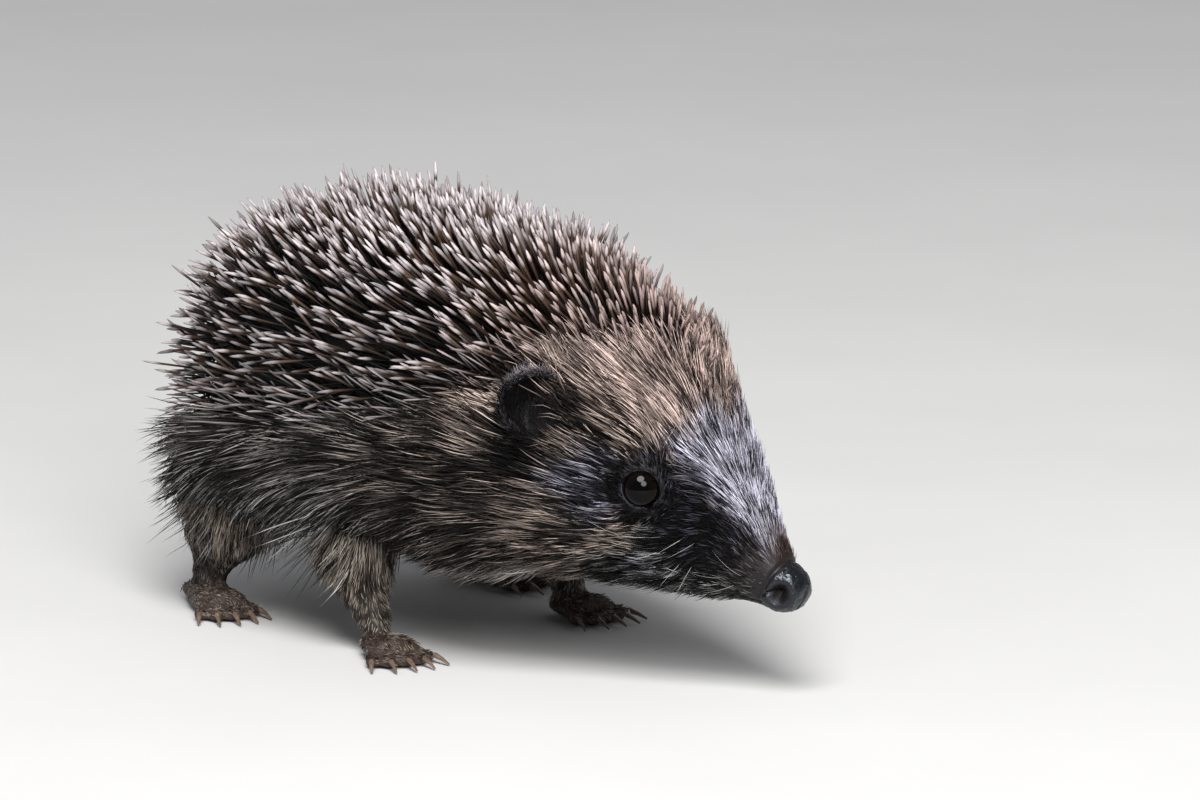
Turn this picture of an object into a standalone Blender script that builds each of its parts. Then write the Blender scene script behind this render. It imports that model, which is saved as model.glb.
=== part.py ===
"""A young European hedgehog, life size, walking with its head low and turned a little to its left.

The body is one tapering form round a bent centre line, from the nose tip to the rump, and thin
cuts part it into nose, head, neck and trunk. Legs, feet, claws, ears, eyes and tail stand against
it with a hair-thin gap. The outline is that of the coat: it runs out to the tips of the spines.
The animal faces -Y, its left side is +X, and its soles stand on the floor at Z = 0.
"""

import math

import bmesh
import bpy
from mathutils import Matrix, Vector

MM = 0.001
GAP = 0.3 * MM  # clear space between neighbouring pieces

# The centre line, measured backwards from the nose tip.
BODY_LENGTH = 135.5 * MM
NOSE_HEIGHT = 16.0 * MM  # of the nose tip over the floor
PAD_LEAD = 1.293 * MM  # how far the top of the nose pad stands ahead of its tip
HEAD_PITCH = math.radians(28)  # the head hangs down this far
HEAD_TURN = math.radians(21)  # and turns this far to its left
HEAD_BACK = 37 * MM  # the head's straight part ends here
NECK_BACK = 60 * MM  # the neck's bend ends here, and the trunk is straight and level

# Half-width, height above and depth below the centre line, at a distance from the nose tip.
BODY_SIZES = (
    (0, 3.9, 3.7, 3.9),  # nose pad
    (5, 4.1, 4.2, 4.4),
    (12, 7.1, 9.3, 8.0),  # muzzle
    (20, 10.8, 15.0, 12.3),
    (27, 14.0, 19.8, 16.0),  # eyes
    (36, 19.2, 27.0, 19.6),  # brow, where the spines begin
    (45, 23.8, 30.6, 21.6),  # ears
    (58, 28.4, 32.0, 22.4),  # nape
    (76, 33.0, 32.4, 22.4),  # shoulders
    (96, 36.4, 32.6, 22.4),  # middle of the back
    (116, 36.0, 30.8, 22.2),  # loins
    (136, 31.6, 25.6, 21.6),  # rump
)
NOSE_CAP = 3.6 * MM  # length of the rounding at the nose tip
RUMP_CAP = 32 * MM  # length of the rounding at the rump
END_POWER = 2.2  # 2 rounds the ends as an ellipsoid, and more makes them blunter
BODY_SIDES = 30
UNDERSIDE_POWER = 2.35  # over 2 squares the lower half of a section, where the coat hangs

NOSE_CUT = 5.0 * MM
HEAD_CUT = 50 * MM
NECK_CUT = 63 * MM

EYE_RADIUS = 3.1 * MM
EYE_PLACE = (27.0 * MM, 11.8 * MM, 4.8 * MM)  # behind the nose tip, sideways, above the line

EAR_WIDTH, EAR_HEIGHT, EAR_DEPTH = 13.5 * MM, 15.5 * MM, 4.0 * MM
EAR_WALL = 1.2 * MM
EAR_PLACE = (42.0 * MM, 22.0 * MM, 11.0 * MM)

MOUTH_FRONT = (5.0 * MM, -3.2 * MM)  # behind the nose tip, above the line
MOUTH_CORNER = (20.5 * MM, -6.6 * MM)

FORELEG_BACK, HINDLEG_BACK = 76 * MM, 112 * MM  # where the legs join the trunk
STRIDE = 4 * MM  # how far a foot is set before or behind its resting place
FORELEG = (  # sideways, behind the joint, height over the floor, radius
    (18, 0, 25, 8.5),
    (20.5, 2, 16, 6.4),
    (20.5, 1, 9, 4.4),
    (20, -1, 4.2, 3.2),  # wrist
)
HINDLEG = (
    (19, -1, 26, 11),
    (23, -4, 17, 8.5),
    (22.5, 1, 9, 5),
    (22, 5, 4.2, 3.1),  # ankle
)
HEEL_BEHIND = 2 * MM  # of the last point of the leg

PALM_LENGTH, SOLE_LENGTH = 9 * MM, 16 * MM  # from the heel to the roots of the toes
PALM_SPLAY, SOLE_SPLAY = 8, 14  # degrees outwards
FOOT_MIDDLE = 1.9 * MM  # height over the floor
FOOT_WIDTHS = ((0, 2.7), (0.35, 3.6), (0.75, 4.4), (1, 3.9))  # share of the length, half-width
FOOT_FLATNESS = 0.56  # height of a foot as a share of its width

FORE_TOES = (  # sideways along the front of the foot, length, turn outwards, radius
    (-3.6, 4.2, -24, 1.15),
    (-1.9, 5.6, -9, 1.25),
    (0.0, 6.0, 0, 1.32),
    (1.9, 5.6, 9, 1.25),
    (3.6, 4.2, 24, 1.15),
)
HIND_TOES = (
    (-3.6, 4.0, -20, 1.15),
    (-1.9, 5.8, -8, 1.25),
    (0.0, 6.4, 0, 1.32),
    (1.9, 5.8, 8, 1.25),
    (3.6, 4.0, 20, 1.15),
)
TOE_HEIGHT = 0.93  # of a toe's middle over the floor, as a share of its radius
CLAW_RADIUS, CLAW_LENGTH = 0.62 * MM, 4.4 * MM
CLAW_LIFT = 0.45 * MM  # of the claw's root over the toe's middle
CLAW_DROP = 1.2 * MM  # of the claw's tip under its root
CLAW_ROOTED = 0.28  # share of the claw's length inside the toe

TAIL = ((-16, 22, 3.6), (-8, 18, 3.0), (-2, 12.5, 1.3))  # behind the rump, height, radius

COLOURS = {
    "spines": ((0.20, 0.16, 0.13, 1), 0.6),
    "fur": ((0.33, 0.26, 0.20, 1), 0.8),
    "skin": ((0.10, 0.07, 0.07, 1), 0.6),
    "wet_skin": ((0.03, 0.02, 0.02, 1), 0.25),
    "eye": ((0.01, 0.01, 0.01, 1), 0.05),
    "claw": ((0.30, 0.22, 0.17, 1), 0.4),
}


def clear_scene():
    for obj in list(bpy.data.objects):
        bpy.data.objects.remove(obj)


def material(name):
    made = bpy.data.materials.get(name)
    if made:
        return made
    colour, roughness = COLOURS[name]
    made = bpy.data.materials.new(name)
    made.use_nodes = True
    shader = made.node_tree.nodes["Principled BSDF"]
    shader.inputs["Base Color"].default_value = colour
    shader.inputs["Roughness"].default_value = roughness
    return made


def node_from(name, bm, finish):
    """A named object that holds this mesh, smooth shaded, with its faces outwards."""
    bmesh.ops.recalc_face_normals(bm, faces=bm.faces)
    mesh = bpy.data.meshes.new(name)
    bm.to_mesh(mesh)
    bm.free()
    mesh.shade_smooth()
    mesh.set_sharp_from_angle(angle=math.radians(50))
    mesh.materials.append(material(finish))
    obj = bpy.data.objects.new(name, mesh)
    bpy.context.scene.collection.objects.link(obj)
    return obj


def as_cutter(obj):
    obj.hide_render = True
    obj.display_type = "WIRE"
    return obj


def combine(obj, operation, other):
    """A live Boolean on obj. The other shape stays in the scene, unless it is a cutter."""
    modifier = obj.modifiers.new(operation.lower(), "BOOLEAN")
    modifier.operation = operation
    modifier.object = other
    modifier.solver = "EXACT"


def grown(obj, name):
    """A cutter with the shape of obj, its surface moved out by the gap."""
    bm = bmesh.new()
    bm.from_mesh(obj.data)
    bm.normal_update()
    moves = [vert.normal * GAP for vert in bm.verts]
    for vert, move in zip(bm.verts, moves):
        vert.co += move
    return as_cutter(node_from(name, bm, "fur"))


def ease(value, start, end):
    """0 before start, 1 after end, and a smooth rise between them."""
    share = min(1, max(0, (value - start) / (end - start)))
    return share * share * (3 - 2 * share)


def between(rows, place):
    """The columns after the first, on a smooth curve through the rows, at this place."""
    last = len(rows) - 1
    index = max(0, min(last - 1, sum(row[0] <= place for row in rows) - 1))
    before, low = rows[max(0, index - 1)], rows[index]
    high, after = rows[index + 1], rows[min(last, index + 2)]
    step = high[0] - low[0]
    share = (place - low[0]) / step
    found = []
    for column in range(1, len(low)):
        slope_low = (high[column] - before[column]) / (high[0] - before[0]) * step
        slope_high = (after[column] - low[column]) / (after[0] - low[0]) * step
        found.append(
            low[column] * (2 * share**3 - 3 * share**2 + 1)
            + slope_low * (share**3 - 2 * share**2 + share)
            + high[column] * (3 * share**2 - 2 * share**3)
            + slope_high * (share**3 - share**2)
        )
    return found


# The centre line ---------------------------------------------------------------------------


def forward_at(back):
    """The way the animal points, at this distance behind the nose tip."""
    pitch = HEAD_PITCH * (1 - ease(back, HEAD_BACK - 2 * MM, NECK_BACK - 6 * MM))
    turn = HEAD_TURN * (1 - ease(back, HEAD_BACK, NECK_BACK))
    level = Vector((math.sin(turn), -math.cos(turn), 0)) * math.cos(pitch)
    return level - Vector((0, 0, math.sin(pitch)))


def make_centre_line():
    """Points a millimetre apart from the nose tip back, with the trunk on the plane X = 0."""
    points = [Vector((0, 0, NOSE_HEIGHT))]
    steps = round(BODY_LENGTH / MM)
    for step in range(steps):
        points.append(points[-1] - forward_at((step + 0.5) * MM) * MM)
    middle = (points[0].y - PAD_LEAD + points[-1].y) / 2
    shift = Vector((-points[-1].x, -middle, 0))
    return [point + shift for point in points]


CENTRE_LINE = make_centre_line()


def axes_at(back):
    """Forward, left and up, at this distance behind the nose tip."""
    forward = forward_at(back)
    left = Vector((0, 0, 1)).cross(forward).normalized()
    return forward, left, forward.cross(left)


def beside_line(back, left=0.0, up=0.0):
    """A point this far behind the nose tip, to the left of the centre line and above it."""
    step = min(len(CENTRE_LINE) - 2, int(back / MM))
    share = back / MM - step
    point = CENTRE_LINE[step].lerp(CENTRE_LINE[step + 1], share)
    _, to_left, to_up = axes_at(back)
    return point + to_left * left + to_up * up


# Shapes ------------------------------------------------------------------------------------


def skin_rings(bm, rings, front, back):
    """Joins rings of vertices into a tube, closed by a point at each end."""
    sides = len(rings[0])
    for ring, following in zip(rings, rings[1:]):
        for i in range(sides):
            j = (i + 1) % sides
            bm.faces.new((ring[i], ring[j], following[j], following[i]))
    for tip, ring in ((front, rings[0]), (back, rings[-1])):
        for i in range(sides):
            bm.faces.new((tip, ring[i], ring[(i + 1) % sides]))


def end_rounding(distance, cap):
    """How wide a blunt rounded end is, this far in from its tip."""
    inside = max(0.0, 1 - distance / cap)
    return max(0.0, 1 - inside**END_POWER) ** (1 / END_POWER)


def ring_places():
    """Distances behind the nose tip, close together on the two rounded ends."""
    nose_steps, middle_steps, rump_steps = 3, 24, 7
    rump = BODY_LENGTH - RUMP_CAP
    places = []
    for step in range(1, nose_steps):
        places.append(NOSE_CAP * (1 - math.cos(step / nose_steps * math.pi / 2)))
    for step in range(middle_steps):
        places.append(NOSE_CAP + (rump - NOSE_CAP) * step / middle_steps)
    for step in range(rump_steps):
        places.append(rump + RUMP_CAP * math.sin(step / rump_steps * math.pi / 2))
    return places


def section_point(angle, half_width, above, below):
    """Sideways and upward offset on a section that is an ellipse above and squarer below."""
    side, rise = math.cos(angle), math.sin(angle)
    if rise >= 0:
        return half_width * side, above * rise
    power = 2 / UNDERSIDE_POWER
    return half_width * math.copysign(abs(side) ** power, side), -below * abs(rise) ** power


def body_mesh():
    bm = bmesh.new()
    rings = []
    for back in ring_places():
        rounding = end_rounding(back, NOSE_CAP) * end_rounding(BODY_LENGTH - back, RUMP_CAP)
        half_width, above, below = (
            size * MM * rounding for size in between(BODY_SIZES, back / MM)
        )
        ring = []
        for side in range(BODY_SIDES):
            angle = 2 * math.pi * side / BODY_SIDES
            left, up = section_point(angle, half_width, above, below)
            ring.append(bm.verts.new(beside_line(back, left, up)))
        rings.append(ring)
    skin_rings(
        bm,
        rings,
        bm.verts.new(beside_line(0)),
        bm.verts.new(beside_line(BODY_LENGTH)),
    )
    return bm


def cut_away(bm, point, normal):
    """Removes what lies past the plane, on the side its normal points to, and closes the cut."""
    everything = bm.verts[:] + bm.edges[:] + bm.faces[:]
    cut = bmesh.ops.bisect_plane(
        bm, geom=everything, plane_co=point, plane_no=normal, clear_outer=True, dist=1e-7
    )
    edges = [item for item in cut["geom_cut"] if isinstance(item, bmesh.types.BMEdge)]
    bmesh.ops.contextual_create(bm, geom=edges)


def body_part(name, start, end, finish):
    """The stretch of the body between two cuts, each half a gap away from its plane."""
    bm = body_mesh()
    if start is not None:
        cut_away(bm, beside_line(start + GAP / 2), forward_at(start))
    if end is not None:
        cut_away(bm, beside_line(end - GAP / 2), -forward_at(end))
    return node_from(name, bm, finish)


def tube(name, points, radii, finish, sides=12, wide=1.0):
    """A closed tube through points, as thick as radii say and wide times as broad as high."""
    bm = bmesh.new()
    rings = []
    run = points[-1] - points[0]
    guide = Vector((0, 0, 1)) if abs(run.z) < run.length / 2 else Vector((0, -1, 0))
    for i, (point, radius) in enumerate(zip(points, radii)):
        along = (points[min(i + 1, len(points) - 1)] - points[max(i - 1, 0)]).normalized()
        across = along.cross(guide).normalized()
        over = across.cross(along)
        ring = []
        for side in range(sides):
            angle = 2 * math.pi * side / sides
            offset = across * math.cos(angle) * wide + over * math.sin(angle)
            ring.append(bm.verts.new(point + offset * radius))
        rings.append(ring)
    reach = 0.35  # how far the rounded ends bulge, as a share of their radius
    first = points[0] + (points[0] - points[1]).normalized() * radii[0] * reach
    last = points[-1] + (points[-1] - points[-2]).normalized() * radii[-1] * reach
    skin_rings(bm, rings, bm.verts.new(first), bm.verts.new(last))
    return node_from(name, bm, finish)


def smooth_run(points, radii, steps=4):
    """Points and radii on a smooth curve through the given ones."""
    rows = [(i, *point, radius) for i, (point, radius) in enumerate(zip(points, radii))]
    count = (len(points) - 1) * steps
    found = [between(rows, i / steps) for i in range(count + 1)]
    return [Vector(row[:3]) for row in found], [row[3] for row in found]


def ball(name, centre, radius, finish, segments=16, rings=10):
    bm = bmesh.new()
    bmesh.ops.create_uvsphere(bm, u_segments=segments, v_segments=rings, radius=radius)
    bmesh.ops.translate(bm, verts=bm.verts, vec=centre)
    return node_from(name, bm, finish)


def block(name, low, high, frame):
    """A box between two corners, given in the axes of frame."""
    bm = bmesh.new()
    bmesh.ops.create_cube(bm, size=1)
    size = Matrix.Diagonal(Vector(high) - Vector(low)).to_4x4()
    place = Matrix.Translation((Vector(high) + Vector(low)) / 2)
    bmesh.ops.transform(bm, verts=bm.verts, matrix=frame @ place @ size)
    return as_cutter(node_from(name, bm, "fur"))


# Head --------------------------------------------------------------------------------------


def make_jaw_cell(name, margin):
    """The space under the mouth and ahead of its corner, grown on those two sides."""
    front = beside_line(MOUTH_FRONT[0], 0, MOUTH_FRONT[1])
    corner = beside_line(MOUTH_CORNER[0], 0, MOUTH_CORNER[1])
    back = (corner - front).normalized()
    _, left, _ = axes_at(MOUTH_CORNER[0])
    up = left.cross(back)
    frame = Matrix((left, back, up)).transposed().to_4x4()
    frame.translation = corner
    reach = 30 * MM
    return block(name, (-reach, -reach, -reach), (reach, margin, margin), frame)


def make_nostrils(nose):
    """Two shallow pits that open forwards and sideways."""
    for side, word in ((1, "left"), (-1, "right")):
        centre = beside_line(1.5 * MM, side * 3.5 * MM, 0.4 * MM)
        pit = as_cutter(ball(f"nostril_{word}", centre, 1.1 * MM, "wet_skin", 10, 6))
        combine(nose, "DIFFERENCE", pit)


def make_head(body_cutter):
    nose = body_part("nose", None, NOSE_CUT, "wet_skin")
    make_nostrils(nose)
    head = body_part("head", NOSE_CUT, HEAD_CUT, "fur")
    jaw = body_part("jaw", NOSE_CUT, HEAD_CUT, "fur")
    combine(jaw, "INTERSECT", make_jaw_cell("jaw_cell", 0.0))
    combine(head, "DIFFERENCE", make_jaw_cell("jaw_room", GAP))
    for side, word in ((1, "left"), (-1, "right")):
        back, sideways, up = EYE_PLACE
        centre = beside_line(back, side * sideways, up)
        ball(f"eye_{word}", centre, EYE_RADIUS, "eye")
        socket = ball(f"socket_{word}", centre, EYE_RADIUS + GAP, "fur")
        combine(head, "DIFFERENCE", as_cutter(socket))
        make_ear(side, word, body_cutter)


def make_ear(side, word, body_cutter):
    """A rounded cup that opens outwards and forwards, its foot set into the head."""
    back, sideways, up = EAR_PLACE
    centre = beside_line(back, side * sideways, up)
    forward, left, upward = axes_at(back)
    outward = left * side
    opening = (outward * 0.72 + forward * 0.62 + upward * 0.10).normalized()
    tall = (upward * 0.86 + outward * 0.42 - forward * 0.28).normalized()
    tall = (tall - opening * tall.dot(opening)).normalized()
    across = opening.cross(tall)
    rings, spokes = 5, 20
    bm = bmesh.new()
    middle = bm.verts.new(centre - opening * EAR_DEPTH)
    previous = None
    for ring in range(1, rings + 1):
        share = ring / rings
        row = []
        for spoke in range(spokes):
            angle = 2 * math.pi * spoke / spokes
            wide = across * math.cos(angle) * EAR_WIDTH / 2 * share
            high = tall * math.sin(angle) * EAR_HEIGHT / 2 * share
            row.append(bm.verts.new(centre + wide + high - opening * EAR_DEPTH * (1 - share**2)))
        for i in range(spokes):
            j = (i + 1) % spokes
            if previous:
                bm.faces.new((previous[i], previous[j], row[j], row[i]))
            else:
                bm.faces.new((middle, row[i], row[j]))
        previous = row
    ear = node_from(f"ear_{word}", bm, "skin")
    wall = ear.modifiers.new("wall", "SOLIDIFY")
    wall.thickness = EAR_WALL
    wall.offset = 0
    combine(ear, "DIFFERENCE", body_cutter)


# Legs and feet -----------------------------------------------------------------------------


def make_claw(name, root, heading):
    """A horn hook that leaves the toe level and curves down towards the floor."""
    steps = 3
    points, radii = [], []
    for step in range(steps + 1):
        share = step / steps
        fall = Vector((0, 0, -CLAW_DROP * share**2))
        points.append(root + heading * CLAW_LENGTH * (share - CLAW_ROOTED) + fall)
        radii.append(CLAW_RADIUS * (1 - 0.72 * share))
    return tube(name, points, radii, "claw", sides=6)


def make_toe(name, root, way, reach, radius):
    end = root + way * reach
    points = [root.lerp(end, share) for share in (0, 0.5, 0.85, 1)]
    radii = [radius * share for share in (0.8, 0.95, 1, 0.6)]
    return as_cutter(tube(name, points, radii, "skin", sides=8)), end


def make_foot(name, heel, heading, length, toes, leg_cutter, floor):
    """A flat-soled foot with its toes joined on, and a separate claw at each toe's end."""
    across = heading.cross(Vector((0, 0, 1)))
    middle = Vector((0, 0, FOOT_MIDDLE))
    points = [heel + heading * length * share + middle for share, _ in FOOT_WIDTHS]
    radii = [half_width * FOOT_FLATNESS * MM for _, half_width in FOOT_WIDTHS]
    run, radii = smooth_run(points, radii, 2)
    foot = tube(name, run, radii, "skin", sides=12, wide=1 / FOOT_FLATNESS)
    for number, (sideways, reach, turn, radius) in enumerate(toes, 1):
        way = Matrix.Rotation(math.radians(-turn), 3, "Z") @ heading
        root = heel + heading * (length - 2 * MM) + across * sideways * MM
        root.z = radius * TOE_HEIGHT * MM
        toe, end = make_toe(f"{name}_toe_{number}", root, way, reach * MM, radius * MM)
        combine(foot, "UNION", toe)
        claw = make_claw(f"{name}_claw_{number}", end + Vector((0, 0, CLAW_LIFT)), way)
        combine(claw, "DIFFERENCE", grown(toe, f"{name}_toe_room_{number}"))
    combine(foot, "DIFFERENCE", leg_cutter)
    combine(foot, "DIFFERENCE", floor)


def make_leg(name, run, side, rest, step, body_cutter):
    """A leg down to its wrist or ankle, cut off where it meets the body."""
    points, radii = [], []
    for sideways, behind, height, radius in run:
        swing = step * (1 - height / run[0][2])
        points.append(Vector((side * sideways * MM, rest + behind * MM - swing, height * MM)))
        radii.append(radius * MM)
    leg = tube(name, *smooth_run(points, radii, 3), "fur", sides=14)
    leg_cutter = grown(leg, f"{name}_room")
    combine(leg, "DIFFERENCE", body_cutter)
    return leg_cutter


def make_limb(end, side, word, step, body_cutter, floor):
    """A fore or hind leg with its foot and claws. A step above 0 sets the foot forwards."""
    if end == "fore":
        back, run, toes, length, splay = FORELEG_BACK, FORELEG, FORE_TOES, PALM_LENGTH, PALM_SPLAY
    else:
        back, run, toes, length, splay = HINDLEG_BACK, HINDLEG, HIND_TOES, SOLE_LENGTH, SOLE_SPLAY
    rest = beside_line(back).y
    leg_cutter = make_leg(f"{end}leg_{word}", run, side, rest, step, body_cutter)
    heading = Matrix.Rotation(side * math.radians(splay), 3, "Z") @ Vector((0, -1, 0))
    sideways, behind = run[-1][:2]
    heel = Vector((side * sideways * MM, rest + behind * MM + HEEL_BEHIND - step, 0))
    make_foot(f"{end}foot_{word}", heel, heading, length, toes, leg_cutter, floor)


def make_tail(body_cutter):
    """A short bare cone under the spines of the rump."""
    rump = beside_line(BODY_LENGTH).y
    points = [Vector((0, rump + behind * MM, height * MM)) for behind, height, _ in TAIL]
    run, radii = smooth_run(points, [radius * MM for _, _, radius in TAIL], 3)
    tail = tube("tail", run, radii, "skin", sides=12)
    combine(tail, "DIFFERENCE", body_cutter)


def make_hedgehog():
    whole = as_cutter(node_from("whole_body", body_mesh(), "fur"))
    body_cutter = grown(whole, "body_room")
    floor = block("floor", (-0.2, -0.2, -0.02), (0.2, 0.2, 0), Matrix.Identity(4))
    make_head(body_cutter)
    body_part("neck", HEAD_CUT, NECK_CUT, "spines")
    body_part("trunk", NECK_CUT, None, "spines")
    # The right fore foot and the left hind foot are the ones stepping forward.
    for side, word in ((1, "left"), (-1, "right")):
        make_limb("fore", side, word, -side * STRIDE, body_cutter, floor)
        make_limb("hind", side, word, side * STRIDE, body_cutter, floor)
    make_tail(body_cutter)


clear_scene()
make_hedgehog()
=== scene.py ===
"""Looks of the young hedgehog: one skin, its spines and its fur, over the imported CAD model.

Places on the animal are told in the body's own terms: how far behind the nose tip along the bent
centre line, and the angle round it, 90 degrees on top, 0 at the side and -90 underneath.
"""

import math

import bmesh
import bpy
import numpy as np
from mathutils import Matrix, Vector
from mathutils.bvhtree import BVHTree
from mathutils.kdtree import KDTree


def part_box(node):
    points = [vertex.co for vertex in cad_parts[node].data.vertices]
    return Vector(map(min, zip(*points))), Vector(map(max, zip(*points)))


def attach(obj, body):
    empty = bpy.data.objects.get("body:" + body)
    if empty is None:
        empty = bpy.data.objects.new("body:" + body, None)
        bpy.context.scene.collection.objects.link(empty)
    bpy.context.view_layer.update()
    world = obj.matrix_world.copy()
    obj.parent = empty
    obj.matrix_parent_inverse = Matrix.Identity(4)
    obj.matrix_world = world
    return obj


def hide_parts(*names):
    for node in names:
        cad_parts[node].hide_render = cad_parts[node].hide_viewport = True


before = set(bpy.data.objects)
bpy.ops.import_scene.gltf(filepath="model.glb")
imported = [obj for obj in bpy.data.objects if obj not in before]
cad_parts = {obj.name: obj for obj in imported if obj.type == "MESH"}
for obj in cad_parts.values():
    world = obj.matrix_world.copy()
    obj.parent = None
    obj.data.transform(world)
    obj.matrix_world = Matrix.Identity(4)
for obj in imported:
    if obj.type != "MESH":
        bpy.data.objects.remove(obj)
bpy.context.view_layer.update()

MM = 0.001

# The body as the CAD has it: a centre line from the nose tip back, and the sizes of its sections.
BODY_LENGTH = 135.5 * MM
NOSE_HEIGHT = 16.0 * MM  # of the nose tip over the floor
PAD_LEAD = 1.293 * MM  # how far the top of the nose pad stands ahead of its tip
HEAD_PITCH, HEAD_TURN = math.radians(28), math.radians(21)  # how far it hangs, and turns left
HEAD_BACK, NECK_BACK = 37 * MM, 60 * MM  # where the neck begins and ends
BODY_SIZES = np.array(  # in mm: behind the nose tip, half-width, above the line, below it
    (
        (0, 3.9, 3.7, 3.9),  # nose pad
        (5, 4.1, 4.2, 4.4),
        (12, 7.1, 9.3, 8.0),  # muzzle
        (20, 10.8, 15.0, 12.3),
        (27, 14.0, 19.8, 16.0),  # eyes
        (36, 19.2, 27.0, 19.6),  # brow, where the spines begin
        (45, 23.8, 30.6, 21.6),  # ears
        (58, 28.4, 32.0, 22.4),  # nape
        (76, 33.0, 32.4, 22.4),  # shoulders
        (96, 36.4, 32.6, 22.4),  # middle of the back
        (116, 36.0, 30.8, 22.2),  # loins
        (136, 31.6, 25.6, 21.6),  # rump
    )
)
NOSE_CAP, RUMP_CAP = 3.6 * MM, 32 * MM  # lengths of the rounding at the two ends
# With a power of 2 the ends and sections are elliptical, and more makes them blunter.
END_POWER, OVER_POWER, UNDER_POWER = 2.2, 2.0, 2.35
LINE_SPARE = 15  # millimetres that the centre line runs on past each end
BATCH = 20000  # points that are placed at a time, to save memory

BODY, EAR, LEG, FOOT, TAIL = range(5)
LIMB_KINDS = {"foreleg": LEG, "hindleg": LEG, "forefoot": FOOT, "hindfoot": FOOT, "tail": TAIL}
EYES = ("eye_left", "eye_right")
HANDS = {"left": 1, "right": -1}  # left of the centre line is positive

SKIN_GRAIN = 0.56 * MM  # edge length of the skin's first mesh
CUT_CLOSER = 0.2 * MM  # the CAD's parts grow this much, so that the gaps between them close

# How deep the coat is, in millimetres: behind the nose tip, on top, at the side, underneath.
COAT_DEPTH = np.array(
    (
        (0, 0.0, 0.0, 0.0),
        (6, 0.05, 0.05, 0.05),
        (12, 1.3, 0.5, 1.2),
        (20, 2.1, 0.9, 2.2),
        (27, 2.9, 1.4, 3.1),
        (33, 4.6, 2.2, 3.8),
        (38, 6.8, 3.0, 4.0),
        (45, 8.7, 4.0, 4.0),
        (58, 9.4, 5.0, 3.8),
        (76, 9.8, 5.8, 4.0),
        (136, 9.8, 6.4, 4.4),
    )
)
LIMB_DEPTH = {LEG: 1.3, FOOT: 0.25, TAIL: 0.6}  # of the coat there, in millimetres

# The ears' cups inside their coat: half-width, half-height, depth of the hollow, wall.
EAR_HALF_WIDTH, EAR_HALF_HEIGHT, EAR_HOLLOW_DEPTH, EAR_WALL = 5.6 * MM, 7.0 * MM, 4.6 * MM, 1.2 * MM
EAR_BACK, EAR_ASIDE, EAR_OVER = 42.4 * MM, 19.6 * MM, 9.2 * MM  # behind the nose tip, sideways, up

# Where the spines begin: millimetres behind the nose tip, lowest angle round the body.
SPINE_LINE = np.array(
    (
        (30, 92),
        (32, 84),
        (34, 68),
        (36, 58),
        (39, 47),
        (43, 36),
        (48, 23),
        (55, 8),
        (70, -2),
        (85, -6),
        (115, -10),
        (136, -18),
    )
)

# Kinds of coat: the colour of the darkest and the palest hairs, and how pale they are on average.
COATS = {
    "flank": ("110e0d", "b3aaa4", 0.25),
    "skirt": ("131211", "b4b2b0", 0.2),
    "belly": ("3a3531", "b9b0a6", 0.5),
    "neck": ("110e0d", "b3a49b", 0.16),
    "cheek": ("120f0e", "cbb8ac", 0.28),
    "temple": ("15141b", "b9b6c7", 0.22),
    "nape": ("1c1411", "dcc6b8", 0.42),
    "crown": ("1f1512", "f0d6cb", 0.4),
    "bridge": ("17161d", "eceafa", 0.48),
    "mask": ("030203", "55525f", 0.1),
    "muzzle": ("080707", "a8aca8", 0.15),
    "snout": ("0b0808", "716a68", 0.3),
    "nose_root": ("150d0b", "6c5550", 0.4),
    "throat": ("2e2a27", "cbc6c0", 0.6),
    "leg": ("1b1512", "a99d91", 0.42),
    "ear": ("0f0b0c", "b5abb4", 0.52),
    # Painted shade: near-black hairs in the folds by the ears.
    "shade_in_creases": ("060405", "2b2729", 0.1),
    "nose": ("030203", "0e0a10", 0.3),
}
# Bare skin, sRGB. Under the spines it is near black, as painted shade down between the spines.
SHADED_HIDE_UNDER_SPINES, LID, LID_RIM = "0b0808", "050406", "30323d"
# The ear's hollow is near black, as painted shade inside its cup.
# The nostril's dark red-brown is darkened to near black by painted shade in its pit.
EAR_HOLLOW_SHADE, FOOT_HIDE, NOSTRIL_SHADED = "060304", "3c2f29", "0a0304"


# Body coordinates --------------------------------------------------------------------------


def ease(value, start, end):
    """0 before start, 1 after end, and a smooth rise between them."""
    share = np.clip((np.asarray(value, float) - start) / (end - start), 0, 1)
    return share * share * (3 - 2 * share)


def unit(vectors):
    return vectors / np.maximum(np.linalg.norm(vectors, axis=-1, keepdims=True), 1e-12)


def steady(*vectors):
    """The vectors rounded far below what shows, so that every run sets the same hairs."""
    return [np.round(vector, 9) for vector in vectors]


def forward_at(back):
    """The way the animal points, at these distances behind the nose tip."""
    pitch = HEAD_PITCH * (1 - ease(back, HEAD_BACK - 2 * MM, NECK_BACK - 6 * MM))
    turn = HEAD_TURN * (1 - ease(back, HEAD_BACK, NECK_BACK))
    level = np.cos(pitch)
    return np.stack([np.sin(turn) * level, -np.cos(turn) * level, -np.sin(pitch)], -1)


def axes_at(back):
    """The body's own ways forward, to the left and up, at these distances behind the nose tip."""
    forward = forward_at(back)
    left = unit(np.stack([-forward[..., 1], forward[..., 0], 0 * forward[..., 0]], -1))
    return forward, left, np.cross(forward, left)


def make_centre_line():
    """Distances behind the nose tip, a millimetre apart, and the centre line's points there."""
    last = round(BODY_LENGTH / MM)
    steps = np.arange(-LINE_SPARE, last + LINE_SPARE)
    moves = -forward_at((steps + 0.5) * MM) * MM
    points = np.vstack([np.zeros(3), np.cumsum(moves, axis=0)])
    points += (0, 0, NOSE_HEIGHT) - points[LINE_SPARE]
    nose, rump = points[LINE_SPARE], points[LINE_SPARE + last]
    points -= (rump[0], (nose[1] - PAD_LEAD + rump[1]) / 2, 0)
    return np.arange(-LINE_SPARE, last + LINE_SPARE + 1) * MM, points


LINE_BACK, LINE = make_centre_line()
LINE_FORWARD = forward_at(LINE_BACK)


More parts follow.
